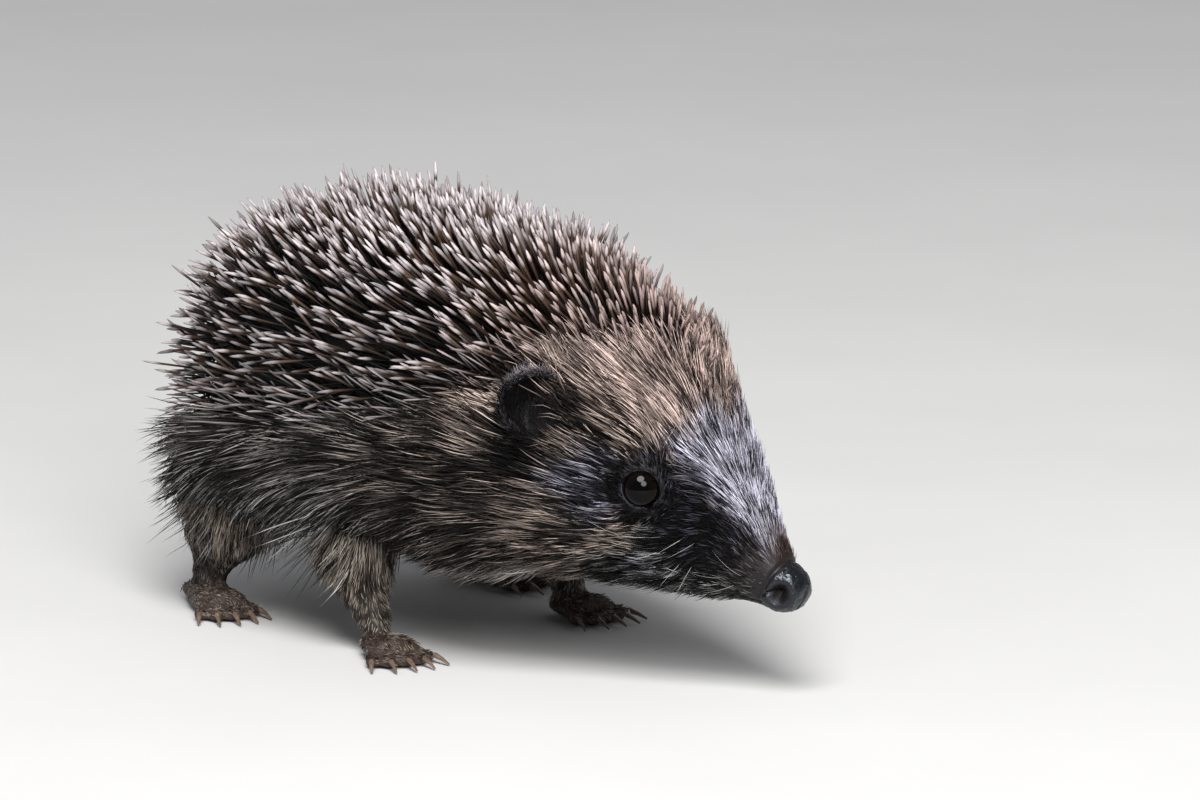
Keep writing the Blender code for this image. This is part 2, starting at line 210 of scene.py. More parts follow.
def beside_line(back, left, up):
    """The point that is this far behind the nose tip, to the left of the line and above it."""
    at = np.stack([np.interp(back, LINE_BACK, LINE[:, i]) for i in range(3)], -1)
    _, to_left, to_up = axes_at(back)
    return at + to_left * np.asarray(left)[..., None] + to_up * np.asarray(up)[..., None]


def of_kind(kind, which):
    """Whether a place is of this kind, where kinds may be blended between the skin's corners."""
    return np.abs(kind - which) < 0.5


def place_of(points):
    """How far each point is behind the nose tip, to the left of the centre line and above it."""
    back = np.empty(len(points))
    for start in range(0, len(points), BATCH):
        some = points[start : start + BATCH]
        ahead = some @ LINE_FORWARD.T - (LINE * LINE_FORWARD).sum(1)
        passed = np.clip((ahead > 0).argmax(1), 1, None)
        row = np.arange(len(some))
        before, after = ahead[row, passed - 1], ahead[row, passed]
        share = np.clip(-before / np.where(after == before, 1, after - before), 0, 1)
        back[start : start + BATCH] = LINE_BACK[passed - 1] + share * MM
    offset = points - beside_line(back, 0 * back, 0 * back)
    _, to_left, to_up = axes_at(back)
    return back, (offset * to_left).sum(1), (offset * to_up).sum(1)


def end_rounding(distance, cap):
    """How wide the body still is near one of its round ends, as a share."""
    inside = np.clip(1 - distance / cap, 0, 1)
    return np.clip(1 - inside**END_POWER, 1e-4, 1) ** (1 / END_POWER)


def body_sizes(back):
    """Half-width, height above the line and depth below it, on a smooth curve through the rows."""
    rows, last = BODY_SIZES * MM, len(BODY_SIZES) - 1
    index = np.clip(np.searchsorted(rows[:, 0], back, side="right") - 1, 0, last - 1)
    low, high = rows[index], rows[index + 1]
    before, after = rows[np.maximum(index - 1, 0)], rows[np.minimum(index + 2, last)]
    step = high[:, :1] - low[:, :1]
    share = (back[:, None] - low[:, :1]) / step
    slope_low = (high - before) / (high[:, :1] - before[:, :1]) * step
    slope_high = (after - low) / (after[:, :1] - low[:, :1]) * step
    found = (
        low * (2 * share**3 - 3 * share**2 + 1)
        + slope_low * (share**3 - 2 * share**2 + share)
        + high * (3 * share**2 - 2 * share**3)
        + slope_high * (share**3 - share**2)
    )
    rounding = end_rounding(back, NOSE_CAP) * end_rounding(BODY_LENGTH - back, RUMP_CAP)
    return (found[:, 1:] * rounding[:, None]).T


def share_of_section(back, left, up):
    """Sideways and upward shares of the body's section there, and how far out: 1 on its surface."""
    half_width, above, below = body_sizes(back)
    power = np.where(up >= 0, OVER_POWER, UNDER_POWER)
    across = np.abs(left) / half_width
    rise = np.abs(up) / np.where(up >= 0, above, below)
    out = (across**power + rise**power) ** (1 / power)
    return across ** (power / 2), np.sign(up) * rise ** (power / 2), out


def angle_round(back, left, up):
    """Degrees round the body: 90 on top, 0 at the side and -90 underneath."""
    across, rise, _ = share_of_section(back, left, up)
    return np.degrees(np.arctan2(rise, across))


def body_normals(back, left, up):
    """The way out of the body's own smooth form."""
    step = 0.15 * MM

    def slope(behind, aside, over):
        after = share_of_section(back + behind, left + aside, up + over)[2]
        before = share_of_section(back - behind, left - aside, up - over)[2]
        return (after - before) / (2 * step)

    forward, to_left, to_up = axes_at(back)
    out = to_left * slope(0, step, 0)[:, None] + to_up * slope(0, 0, step)[:, None]
    return unit(out - forward * slope(step, 0, 0)[:, None])


def table_at(table, back, column=1):
    """A column of one of the tables whose first column is millimetres behind the nose tip."""
    return np.interp(np.asarray(back) / MM, table[:, 0], table[:, column])


def above_spine_line(back, angle):
    """Degrees above the edge of the spines."""
    return angle - table_at(SPINE_LINE, back)


def coat_depth(back, angle):
    """How far the coat's own surface stands off the skin."""
    top, side, under = (table_at(COAT_DEPTH, back, column) for column in (1, 2, 3))
    depth = under + (side - under) * ease(angle, -75, -15)
    return (depth + (top - depth) * ease(above_spine_line(back, angle), -32, 14)) * MM


def ripples(points, size, seed, waves=7):
    """A smooth random field, mostly between -1 and 1, whose bumps are about this size."""
    rng = np.random.default_rng(seed)
    total = np.zeros(len(points))
    for _ in range(waves):
        way = unit(rng.normal(size=3)) * rng.uniform(0.7, 1.4) * math.pi / size
        total += np.cos(points @ way + rng.uniform(0, 2 * math.pi))
    return total / math.sqrt(waves / 2) / 1.6


# Meshes ------------------------------------------------------------------------------------


def deselect_all():
    for obj in bpy.context.selected_objects:
        obj.select_set(False)


def work_on(obj):
    """Makes this the one selected and active object."""
    deselect_all()
    obj.select_set(True)
    bpy.context.view_layer.objects.active = obj


def new_object(name, mesh):
    obj = bpy.data.objects.new(name, mesh)
    bpy.context.scene.collection.objects.link(obj)
    return obj


def corners(mesh):
    points = np.empty(len(mesh.vertices) * 3)
    mesh.vertices.foreach_get("co", points)
    return points.reshape(-1, 3)


def move_corners(mesh, points):
    mesh.vertices.foreach_set("co", np.asarray(points, np.float32).ravel())
    mesh.update()


def triangles(mesh):
    mesh.calc_loop_triangles()
    found = np.empty(len(mesh.loop_triangles) * 3, np.int32)
    mesh.loop_triangles.foreach_get("vertices", found)
    return found.reshape(-1, 3)


def edges(mesh):
    found = np.empty(len(mesh.edges) * 2, np.int32)
    mesh.edges.foreach_get("vertices", found)
    return found.reshape(-1, 2)


def corner_normals(mesh):
    found = np.empty(len(mesh.vertices) * 3)
    mesh.vertex_normals.foreach_get("vector", found)
    return found.reshape(-1, 3)


def spread(values, links, turns, weight=1.0):
    """Each value moved towards the mean of its neighbours', this many times."""
    values = np.array(values, float).reshape(len(values), -1)
    weight = np.broadcast_to(np.asarray(weight, float), len(values))[:, None]
    one, two = links.T
    count = np.maximum(np.bincount(links.ravel(), minlength=len(values)), 1)[:, None]
    for _ in range(turns):
        total = np.zeros_like(values)
        for i, column in enumerate(values.T):
            total[:, i] = np.bincount(one, column[two], len(values))
            total[:, i] += np.bincount(two, column[one], len(values))
        values = values + weight * 0.6 * (total / count - values)
    return values


def tree_of(points):
    """A tree that finds the nearest of these points."""
    tree = KDTree(len(points))
    for i, point in enumerate(points):
        tree.insert(point, i)
    tree.balance()
    return tree


def write_attribute(mesh, name, values):
    """A number or a colour for each corner of the mesh, which its material can read."""
    values = np.asarray(values, np.float32)
    if name in mesh.attributes:
        mesh.attributes.remove(mesh.attributes[name])
    if values.ndim == 1:
        mesh.attributes.new(name, "FLOAT", "POINT").data.foreach_set("value", values)
        return
    full = np.ones((len(values), 4), np.float32)
    full[:, :3] = values
    mesh.attributes.new(name, "FLOAT_COLOR", "POINT").data.foreach_set("color", full.ravel())


def read_number(mesh, name):
    found = np.empty(len(mesh.vertices), np.float32)
    mesh.attributes[name].data.foreach_get("value", found)
    return found


def select_by(obj, chosen):
    """Goes into edit mode with the faces whose corners are all chosen selected."""
    work_on(obj)
    mesh, flags = obj.data, np.asarray(chosen, bool)
    mesh.vertices.foreach_set("select", flags)
    mesh.edges.foreach_set("select", flags[edges(mesh)].all(1))
    starts = np.empty(len(mesh.polygons), np.int32)
    mesh.polygons.foreach_get("loop_start", starts)
    loops = np.empty(len(mesh.loops), np.int32)
    mesh.loops.foreach_get("vertex_index", loops)
    mesh.polygons.foreach_set("select", np.logical_and.reduceat(flags[loops], starts))
    bpy.ops.object.mode_set(mode="EDIT")


# The skin ----------------------------------------------------------------------------------


def limb_kind(node):
    """The kind of limb that a CAD node is part of, or the body."""
    return LIMB_KINDS.get(node.split("_")[0], BODY)


def flesh_nodes():
    return sorted(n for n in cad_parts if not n.startswith("eye") and "claw" not in n)


def merged_copy(node, grow):
    """A closed mesh with the shape of a CAD node, its surface moved out a little."""
    bm = bmesh.new()
    bm.from_mesh(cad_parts[node].data)
    bmesh.ops.remove_doubles(bm, verts=bm.verts, dist=0.01 * MM)
    bm.normal_update()
    moves = [vert.normal * grow for vert in bm.verts]
    for vert, move in zip(bm.verts, moves):
        vert.co += move
    mesh = bpy.data.meshes.new(node)
    bm.to_mesh(mesh)
    bm.free()
    mesh.materials.clear()
    return mesh


def whole_form():
    """The flesh of the CAD model, but for the ears, as one closed mesh of even faces."""
    nodes = [node for node in flesh_nodes() if not node.startswith("ear_")]
    copies = [new_object("flesh", merged_copy(node, CUT_CLOSER)) for node in nodes]
    return fused(copies)


def fused(objects):
    """The objects as one closed mesh of even faces, with no seam where they met."""
    deselect_all()
    for obj in objects:
        obj.select_set(True)
    bpy.context.view_layer.objects.active = objects[0]
    bpy.ops.object.join()
    whole = bpy.context.view_layer.objects.active
    whole.name = whole.data.name = "skin"
    whole.data.remesh_voxel_size = SKIN_GRAIN
    bpy.ops.object.voxel_remesh()
    return whole


def kinds_of(points, out, back):
    """Which limb each corner belongs to, by the CAD nodes, or the body itself."""
    verts, faces, kinds = [], [], []
    for node in flesh_nodes():
        kind = limb_kind(node)
        if kind == BODY:
            continue
        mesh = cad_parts[node].data
        start = len(verts)
        verts += [v.co.copy() for v in mesh.vertices]
        faces += [[start + i for i in p.vertices] for p in mesh.polygons]
        kinds += [kind] * len(mesh.polygons)
    tree = BVHTree.FromPolygons(verts, faces)
    found = np.zeros(len(points), int)
    half_width, _, _ = body_sizes(back)
    # Only what stands out of the body's own form can be a limb.
    for i in np.flatnonzero((out - 1) * half_width > 0.35 * MM):
        _, _, face, away = tree.find_nearest(Vector(points[i]), 2 * MM)
        if face is not None and away < 0.6 * MM:
            found[i] = kinds[face]
    return found


def inset_skin(skin):
    """Rounds the body to its true form, then draws the skin in by the depth of the coat."""
    mesh = skin.data
    points, links = corners(mesh), edges(mesh)
    back, left, up = place_of(points)
    _, _, out = share_of_section(back, left, up)
    kind = kinds_of(points, out, back)
    on_body = kind == BODY
    # What lies near the body's own form is moved onto it, which clears the steps of the mesh.
    away = np.abs(out - 1) * body_sizes(back)[0]
    snap = on_body & (away < 0.8 * MM) & (back > 0.8 * MM) & (back < BODY_LENGTH - 4 * MM)
    points[snap] = beside_line(back[snap], (left / out)[snap], (up / out)[snap])
    move_corners(mesh, points)
    angle = angle_round(back, left, up)
    depth = coat_depth(back, angle)
    for limb, deep in LIMB_DEPTH.items():
        depth[kind == limb] = deep * MM
    normals = np.where(on_body[:, None], body_normals(back, left, up), corner_normals(mesh))
    # The depth changes softly where a limb meets the body.
    depth = spread(depth, links, 14)
    normals = unit(spread(normals, links, 4))
    points = points - normals * depth
    smoothing = np.where(kind == FOOT, 0.4, 1.0) * ease(back, 6 * MM, 12 * MM)
    points = spread(points, links, 6, smoothing)
    move_corners(mesh, points)
    write_attribute(mesh, "kind", kind.astype(float))


def ear_axes(side):
    """An ear's middle, and the ways back across it, up along it and out of its hollow."""
    hand, back = HANDS[side], np.array([EAR_BACK])
    middle = beside_line(back, [hand * EAR_ASIDE], [EAR_OVER])[0]
    forward, left, up = (axis[0] for axis in axes_at(back))
    outward = left * hand
    out = unit(outward * 0.72 + forward * 0.66 + up * 0.08)
    tall = unit(up * 0.86 + outward * 0.40 - forward * 0.20)
    tall = unit(tall - out * (tall @ out))
    return steady(middle, np.cross(out, tall) * hand, tall, out)


def ear_outline(height):
    """How far back the ear's outline is drawn at each height, and its half-width there."""
    low = np.clip(-height, 0, 1)
    return 2.0 * MM * low**1.3, EAR_HALF_WIDTH * (1 - 0.38 * low)


def make_ear(side):
    """A round cup with an even wall, which narrows downwards and back."""
    middle, across, tall, out = ear_axes(side)
    deselect_all()
    bpy.ops.mesh.primitive_uv_sphere_add(segments=64, ring_count=48, radius=1)
    ear = bpy.context.view_layer.objects.active
    x, y, z = corners(ear.data).T
    reach = np.clip(np.hypot(x, y), 0, 1)
    behind = -EAR_HOLLOW_DEPTH * (1 - reach**2) ** 0.75
    wall = EAR_WALL * (z > 0) * np.sqrt(np.clip(1 - reach**10, 0, 1))
    drawn, half_width = ear_outline(y)
    over_hollow = 1.5 * MM * ease(y, 0.55, 1.0)
    shaped = across * (drawn + x * half_width)[:, None] + tall * (y * EAR_HALF_HEIGHT)[:, None]
    move_corners(ear.data, middle + shaped + out * (behind + wall + over_hollow)[:, None])
    bpy.ops.object.mode_set(mode="EDIT")
    bpy.ops.mesh.select_all(action="SELECT")
    bpy.ops.mesh.normals_make_consistent(inside=False)
    bpy.ops.object.mode_set(mode="OBJECT")
    return ear


def in_ear(points, side):
    """Share of the way to the rim, how far out of the hollow, and how far back as a share."""
    middle, across, tall, out = ear_axes(side)
    offset = points - middle
    height = offset @ tall / EAR_HALF_HEIGHT
    drawn, half_width = ear_outline(height)
    behind = (offset @ across - drawn) / half_width
    return np.hypot(behind, height), offset @ out, behind


def nearest_ear(points):
    """For the nearer ear: share of the way to its rim, how far out of its hollow, how far back."""
    left, right = in_ear(points, "left"), in_ear(points, "right")
    return np.where(left[0] < right[0], left, right)


def in_hollow(reach, height):
    """1 inside the hollow of an ear."""
    return (1 - ease(reach, 0.78, 0.92)) * (height > -5.5 * MM) * (height < 6 * MM)


def add_ears(skin):
    """Grows the ears out of the skin, and says again which kind each corner is of."""
    tree, kinds = tree_of(corners(skin.data)), read_number(skin.data, "kind")
    skin = fused([skin, make_ear("left"), make_ear("right")])
    points = corners(skin.data)
    found = [tree.find(point) for point in points]
    kind = np.array([kinds[i] for _, i, _ in found])
    away = np.array([distance for _, _, distance in found])
    ear = np.zeros(len(points), bool)
    for side in HANDS:
        reach, height, _ = in_ear(points, side)
        # An ear's cup where it stands clear of the old skin, and the floor of its hollow.
        cup = (reach < 1.12) & (height > -7 * MM) & (height < 2.5 * MM) & (away > 0.45 * MM)
        ear |= cup | ((reach < 0.9) & (height > -5.5 * MM) & (height < 1 * MM))
    kind[ear] = EAR
    back, _, _ = place_of(points)
    softness = np.where(ear, 0.35, 0.8) * (back > 10 * MM)
    points = spread(points, edges(skin.data), 3, softness)
    move_corners(skin.data, points)
    write_attribute(skin.data, "kind", kind)
    return skin


def thin_hidden_skin(skin):
    """The skin under the spines and the long fur needs few faces."""
    back, _, _ = place_of(corners(skin.data))
    select_by(skin, (back > 50 * MM) & of_kind(read_number(skin.data, "kind"), BODY))
    bpy.ops.mesh.decimate(ratio=0.25)
    bpy.ops.object.mode_set(mode="OBJECT")


def refine_skin(skin, chosen):
    """Cuts each chosen face into four."""
    select_by(skin, chosen)
    bpy.ops.mesh.subdivide(number_cuts=1)
    bpy.ops.object.mode_set(mode="OBJECT")


def middle_of(node):
    low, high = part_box(node)
    return np.array((low + high) / 2)


def eye_axes(node):
    """The middle of the eye, the way it looks, and upwards and forwards across it."""
    middle = middle_of(node)
    back, left, up = place_of(middle[None])
    look = body_normals(back, left, up)[0]
    forward = forward_at(back)[0]
    forward = unit(forward - look * (forward @ look))
    upward = np.cross(look, forward)
    upward = upward * np.sign(upward[2])
    return steady(middle, look, upward, forward)


def from_eyes(points):
    """For the nearer eye: the distance to its middle, and how far out of its socket."""
    found = []
    for node in EYES:
        middle, look, _, _ = eye_axes(node)
        found.append((np.linalg.norm(points - middle, axis=1), (points - middle) @ look))
    return np.where(found[0][0] < found[1][0], found[0], found[1])


NOSE_PAD_BACK = 5.0 * MM  # where the bare pad ends, behind the nose tip

LID_OPENING = 2.8 * MM  # radius of the opening between the lids
LID_REACH = 7.5 * MM  # radius within which the skin takes the lids' form
EYE_RADIUS = 3.1 * MM
# The clear front of the eye: its radius, how far it stands before the middle, how much it drops.
CORNEA_RADIUS, CORNEA_FRONT, CORNEA_DROP = 4.2 * MM, 2.8 * MM, 0.6 * MM


def shape_lids(points, node):
    """Lids that close round the ball, with a fold over them, and a corner towards the nose."""
    middle, look, upward, forward = eye_axes(node)
    offset = points - middle
    height, along, rise = offset @ look, offset @ forward, offset @ upward
    radius = np.hypot(along, rise)
    near = (radius < LID_REACH) & (height > -3 * MM) & (height < 5 * MM)
    round_eye = np.arctan2(rise, along)
    corner = np.exp(-(((round_eye + 0.5) / 0.26) ** 2))
    far_corner = np.exp(-((np.abs(np.abs(round_eye) - math.pi) / 0.3) ** 2))
    narrowed = 0.09 * np.abs(np.sin(round_eye))
    opening = LID_OPENING * (1 + 0.34 * corner + 0.03 * far_corner - narrowed)
    edge = near & (np.abs(radius - opening) < 0.1 * MM)
    scale = np.where(edge, opening / np.maximum(radius, 1e-9), 1)
    along, rise, radius = along * scale, rise * scale, radius * scale
    ball = np.sqrt(np.clip(EYE_RADIUS**2 - radius**2, 0, None))
    # The lids' form, in millimetres out of the socket against millimetres past their edge.
    past = (radius - opening) / MM
    lid_top = 1.36 - 0.16 * (past - 0.3) ** 2
    roll = -1.0 * np.exp(-((past / 0.16) ** 2)) * (past < 0.5)
    lid = lid_top + 0.35 * roll
    over = ease(np.sin(round_eye), -0.2, 0.7)
    fold = -0.2 * np.exp(-(((past - 1.25) / 0.22) ** 2)) * (0.35 + 0.65 * over)
    brow = 0.4 * np.exp(-(((past - 2.1) / 0.7) ** 2)) * over
    outside = (lid + fold + brow) * MM
    blend = ease(radius, opening + 0.7 * MM, LID_REACH - 1.2 * MM)
    wanted = outside * (1 - blend) + height * blend
    behind_edge = (0.75 - 0.4 * (radius / MM - 2.7)) * MM * (radius > 2.7 * MM)
    inside = np.maximum(ball - 0.5 * MM, behind_edge)
    wanted = np.where(past < 0, inside, wanted)
    moved = middle + forward * along[:, None] + upward * rise[:, None] + look * wanted[:, None]
    return np.where(near[:, None], moved, points)


def nostril_share(back, left, up):
    """1 in the pit of each nostril and 0 on the rest of the nose."""
    away = ((back / MM - 2.5) / 1.25) ** 2 + (up / MM / 1.6) ** 2
    return np.exp(-(away**1.6)) * ease(np.abs(left) / MM, 0.8, 2.0)


def shape_nose(points, normals, back, left, up):
    """A wet pebbled pad with a rim behind it, two comma-shaped nostrils and a groove between."""
    # All in millimetres: beside the middle, behind the tip, above the middle, and out of the skin.
    side, behind, rise = np.abs(left) / MM, back / MM, up / MM
    out = np.zeros(len(points))
    pit = nostril_share(back, left, up)
    tail = np.exp(-(((rise - 0.2 + 0.75 * (behind - 2.8)) / 0.36) ** 2)) * ease(side, 1.4, 2.6)
    tail = tail * ease(behind, 2.4, 3.0) * (1 - ease(behind, 4.0, 5.0))
    out -= 2.1 * pit + 0.6 * tail
    rim = np.exp(-(((behind - 2.7) / 1.7) ** 2 + ((rise + 0.2) / 2.0) ** 2))
    rim = rim * ease(side, 1.0, 2.0)
    out += 0.35 * (rim - pit)
    groove = np.exp(-((side / 0.3) ** 2)) * (1 - ease(behind, 1.5, 3.5))
    out -= 0.4 * groove * ease(-rise, -2.6, -1.2)
    out -= 0.38 * np.exp(-(((behind - 4.9) / 0.4) ** 2)) * ease(rise, -3.4, -1.5)
    pebbles = ripples(points, 0.5 * MM, 5, 9) + 0.6 * ripples(points, 0.34 * MM, 6, 9)
    out += 0.035 * pebbles * (1 - ease(behind, 4.0, 5.2)) * (1 - np.clip(pit + tail, 0, 1))
    return points + normals * (out * MM)[:, None]


def shape_mouth(points, normals, back, up):
    """The line of the mouth, from under the nose to a corner below the eye, over a fuller lip."""
    behind, rise = back / MM, up / MM  # in millimetres, as the depths below are
    line = np.interp(behind, (1.5, 5, 12, 20.5), (-3.0, -3.2, -5.0, -6.6))
    here = ease(behind, 1.0, 3.0) * (1 - ease(behind, 18.5, 22))
    groove = -0.55 * np.exp(-(((rise - line) / 0.32) ** 2))
    lip = 0.25 * np.exp(-(((rise - line - 1.0) / 0.8) ** 2))
    return points + normals * ((groove + lip) * here * MM)[:, None]


def sculpt_head(skin):
    """Shapes the nose, the line of the mouth and the lids in the skin."""
    mesh = skin.data
    points, normals = corners(mesh), corner_normals(mesh)
    back, left, up = place_of(points)
    on_body = of_kind(read_number(mesh, "kind"), BODY)
    soft = spread(normals, edges(mesh), 3)
    sculpted = shape_nose(points, unit(soft), back, left, up)
    sculpted = shape_mouth(sculpted, unit(soft), back, up)
    points = np.where((on_body & (back < 26 * MM))[:, None], sculpted, points)
    for node in EYES:
        points = shape_lids(points, node)
    move_corners(mesh, points)


def make_skin():
    """One skin over all the flesh, with finer faces where the head is bare or shaped closely."""
    skin = whole_form()
    inset_skin(skin)
    skin = add_ears(skin)
    thin_hidden_skin(skin)
    back, _, _ = place_of(corners(skin.data))
    on_body = of_kind(read_number(skin.data, "kind"), BODY)
    distance, _ = from_eyes(corners(skin.data))
    refine_skin(skin, on_body & ((back < 22 * MM) | (distance < 8 * MM)))
    # Finer twice more: a ring between these distances round each eye, and the nose, in millimetres.
    for inner, outer, nose in ((2.0, 5.5, 6.5), (2.5, 4.1, 0)):
        points = corners(skin.data)
        back, _, _ = place_of(points)
        distance, height = from_eyes(points)
        on_body = of_kind(read_number(skin.data, "kind"), BODY)
        lids = (distance > inner * MM) & (distance < outer * MM) & (height > 0)
        refine_skin(skin, on_body & ((back < nose * MM) | lids))
    sculpt_head(skin)
    skin.data.polygons.foreach_set("use_smooth", np.ones(len(skin.data.polygons), bool))
    return skin


# Eyes --------------------------------------------------------------------------------------


def make_eye(node):
    """A wet ball whose clear front is flatter than the rest and looks a little upwards."""
    middle, look, upward, _ = eye_axes(node)
    deselect_all()
    bpy.ops.mesh.primitive_uv_sphere_add(segments=64, ring_count=48, radius=1)
    eye = bpy.context.view_layer.objects.active
    eye.name = eye.data.name = node.replace("eye_", "eyeball_")
    points = corners(eye.data)
    facing = points[:, 2].copy()
    turn = np.array(Vector(look).to_track_quat("Z", "Y").to_matrix())
    rays = points @ turn.T
    behind = look * (CORNEA_FRONT - CORNEA_RADIUS) - upward * CORNEA_DROP
    along = rays @ behind
    reach = along + np.sqrt(along**2 - behind @ behind + CORNEA_RADIUS**2)
    soft = 0.12 * MM
    reach = -soft * np.log(np.exp(-reach / soft) + np.exp(-EYE_RADIUS / soft))
    move_corners(eye.data, rays * reach[:, None] + middle)
    write_attribute(eye.data, "facing", facing)
    bpy.ops.object.shade_smooth()
    return eye


# Hairs and spines --------------------------------------------------------------------------


def survey(skin):
    """The skin's corners and their places on the body, for colours and hairs to be set on."""
    points = corners(skin.data)
    back, left, up = place_of(points)
    return {
        "faces": triangles(skin.data),
        "points": points,
        "normals": corner_normals(skin.data),
        "back": back,
        "left": left,
        "up": up,
        "angle": angle_round(back, left, up),
        "kind": read_number(skin.data, "kind"),
    }


def scatter(ground, density, rng):
    """Random places on the skin, this many to the square millimetre at each of its corners."""
    faces, points = ground["faces"], ground["points"]
    one, two, three = (points[faces[:, i]] for i in range(3))
    area = np.linalg.norm(np.cross(two - one, three - one), axis=1) / 2 / MM**2
    wanted = np.cumsum(area * density[faces].mean(1))
    count = int(wanted[-1])
    picks = np.searchsorted(wanted, (np.arange(count) + rng.random(count)) * wanted[-1] / count)
    across, along = rng.random((2, count))
    fold = across + along > 1
    across, along = np.where(fold, 1 - across, across), np.where(fold, 1 - along, along)
    shares = np.stack([1 - across - along, across, along], 1)
    chosen = faces[np.minimum(picks, len(faces) - 1)]
    roots = {}
    for name, values in ground.items():
        if name != "faces":
            share = shares if values.ndim == 1 else shares[:, :, None]
            roots[name] = (values[chosen] * share).sum(1)
    roots["normals"] = unit(roots["normals"])
    return roots


def spaced_out(roots, spacing):
    """Drops each root that is nearer than the spacing to one kept before it."""
    tree = tree_of(roots["points"])
    gone = np.zeros(len(spacing), bool)
    for i, point in enumerate(roots["points"]):
        if gone[i]:
            continue
        for _, j, _ in tree.find_range(point, spacing[i]):
            gone[j] |= j > i
    return {name: values[~gone] for name, values in roots.items()}


def along_skin(ways, normals):
    """The ways laid flat on the skin."""
    return unit(ways - normals * (ways * normals).sum(1, keepdims=True))


def parted(roots, ways, middle, inner, outer, strength):
    """Ways that go round a bare place, such as an eye, instead of over it."""
    offset = roots["points"] - middle
    offset = offset - roots["normals"] * (offset * roots["normals"]).sum(1, keepdims=True)
    distance = np.linalg.norm(offset, axis=1)
    aside = offset - ways * (offset * ways).sum(1, keepdims=True)
    ahead = ease(-(offset * ways).sum(1) / np.maximum(distance, 1e-9), -0.9, 0.4)
    push = strength * (1 - ease(distance, inner, outer)) * ahead
    return along_skin(ways + unit(aside) * push[:, None], roots["normals"])


def lie_of(roots):
    """Which way the hairs lie: back along the body, down the legs, and round the eyes and ears."""
    back, angle, kind = roots["back"], roots["angle"], roots["kind"]
    forward, _, up = axes_at(back)
    # The fur of the flanks hangs, more so low down and over the rump.
    droop = 0.2 * ease(back, 48 * MM, 80 * MM) * (1 - ease(angle, 0, 40))
    droop = droop + (0.10 + 0.5 * ease(back, 52 * MM, 74 * MM)) * (1 - ease(angle, -30, 0))
    droop = droop + 0.8 * ease(back, 108 * MM, 130 * MM)
    ways = -forward - up * droop[:, None]
    down = np.array((0, 0.25, -1.0))
    ways = np.where(of_kind(kind, LEG)[:, None], down, ways)
    ways = np.where(of_kind(kind, FOOT)[:, None], np.array((0, -1.0, -0.15)), ways)
    for side, hand in HANDS.items():
        middle, _, tall, out = ear_axes(side)
        # The hairs of an ear fan out from a place under its foot.
        outward = roots["points"] - (middle - tall * 9 * MM + out * 2 * MM)
        ear = of_kind(kind, EAR) & (roots["left"] * hand > 0)
        ways = np.where(ear[:, None], unit(outward), ways)
    ways = along_skin(ways, roots["normals"])
    for node in EYES:
        ways = parted(roots, ways, middle_of(node), 3 * MM, 9 * MM, 1.3)
    for side in HANDS:
        parting = parted(roots, ways, ear_axes(side)[0], 5 * MM, 12 * MM, 0.75)
        chosen = of_kind(kind, BODY) & (angle > 14 + 4 * ripples(roots["points"], 3 * MM, 24))
        ways = np.where(chosen[:, None], parting, ways)
    return ways


def grown(roots, ways, length, lift, tip_lift, bend, rings):
    """Paths of hairs that leave the skin at one angle, end at another and swing sideways."""
    normals = roots["normals"]
    aside = np.cross(normals, ways)
    path = [roots["points"] - normals * 0.15 * MM]  # rooted just inside the skin
    for ring in range(rings):
        share = (ring + 0.5) / rings
        rise = lift * (1 - share) + tip_lift * share
        swing = bend * share
        level = ways * np.cos(swing)[:, None] + aside * np.sin(swing)[:, None]
        step = level * np.cos(rise)[:, None] + normals * np.sin(rise)[:, None]
        path.append(path[-1] + step * (length / rings)[:, None])
    return np.stack(path, 1)


def nearest_leaders(points, each, rng):
    """For each point the nearest of a few leaders, one to about this many points."""
    leaders = rng.choice(len(points), max(1, len(points) // each), replace=False)
    tree = tree_of(points[leaders])
    return leaders[[tree.find(point)[1] for point in points]]


def gathered(paths, leaders, strength):
    """Draws the tips of neighbouring hairs towards their leader's, into locks."""
    share = np.linspace(0, 1, paths.shape[1])[None, :, None] ** 1.4
    return paths + (paths[leaders] - paths) * share * np.asarray(strength).reshape(-1, 1, 1)


PATCH = 0.003  # width of each hair's patch on the map, whose own width is 1


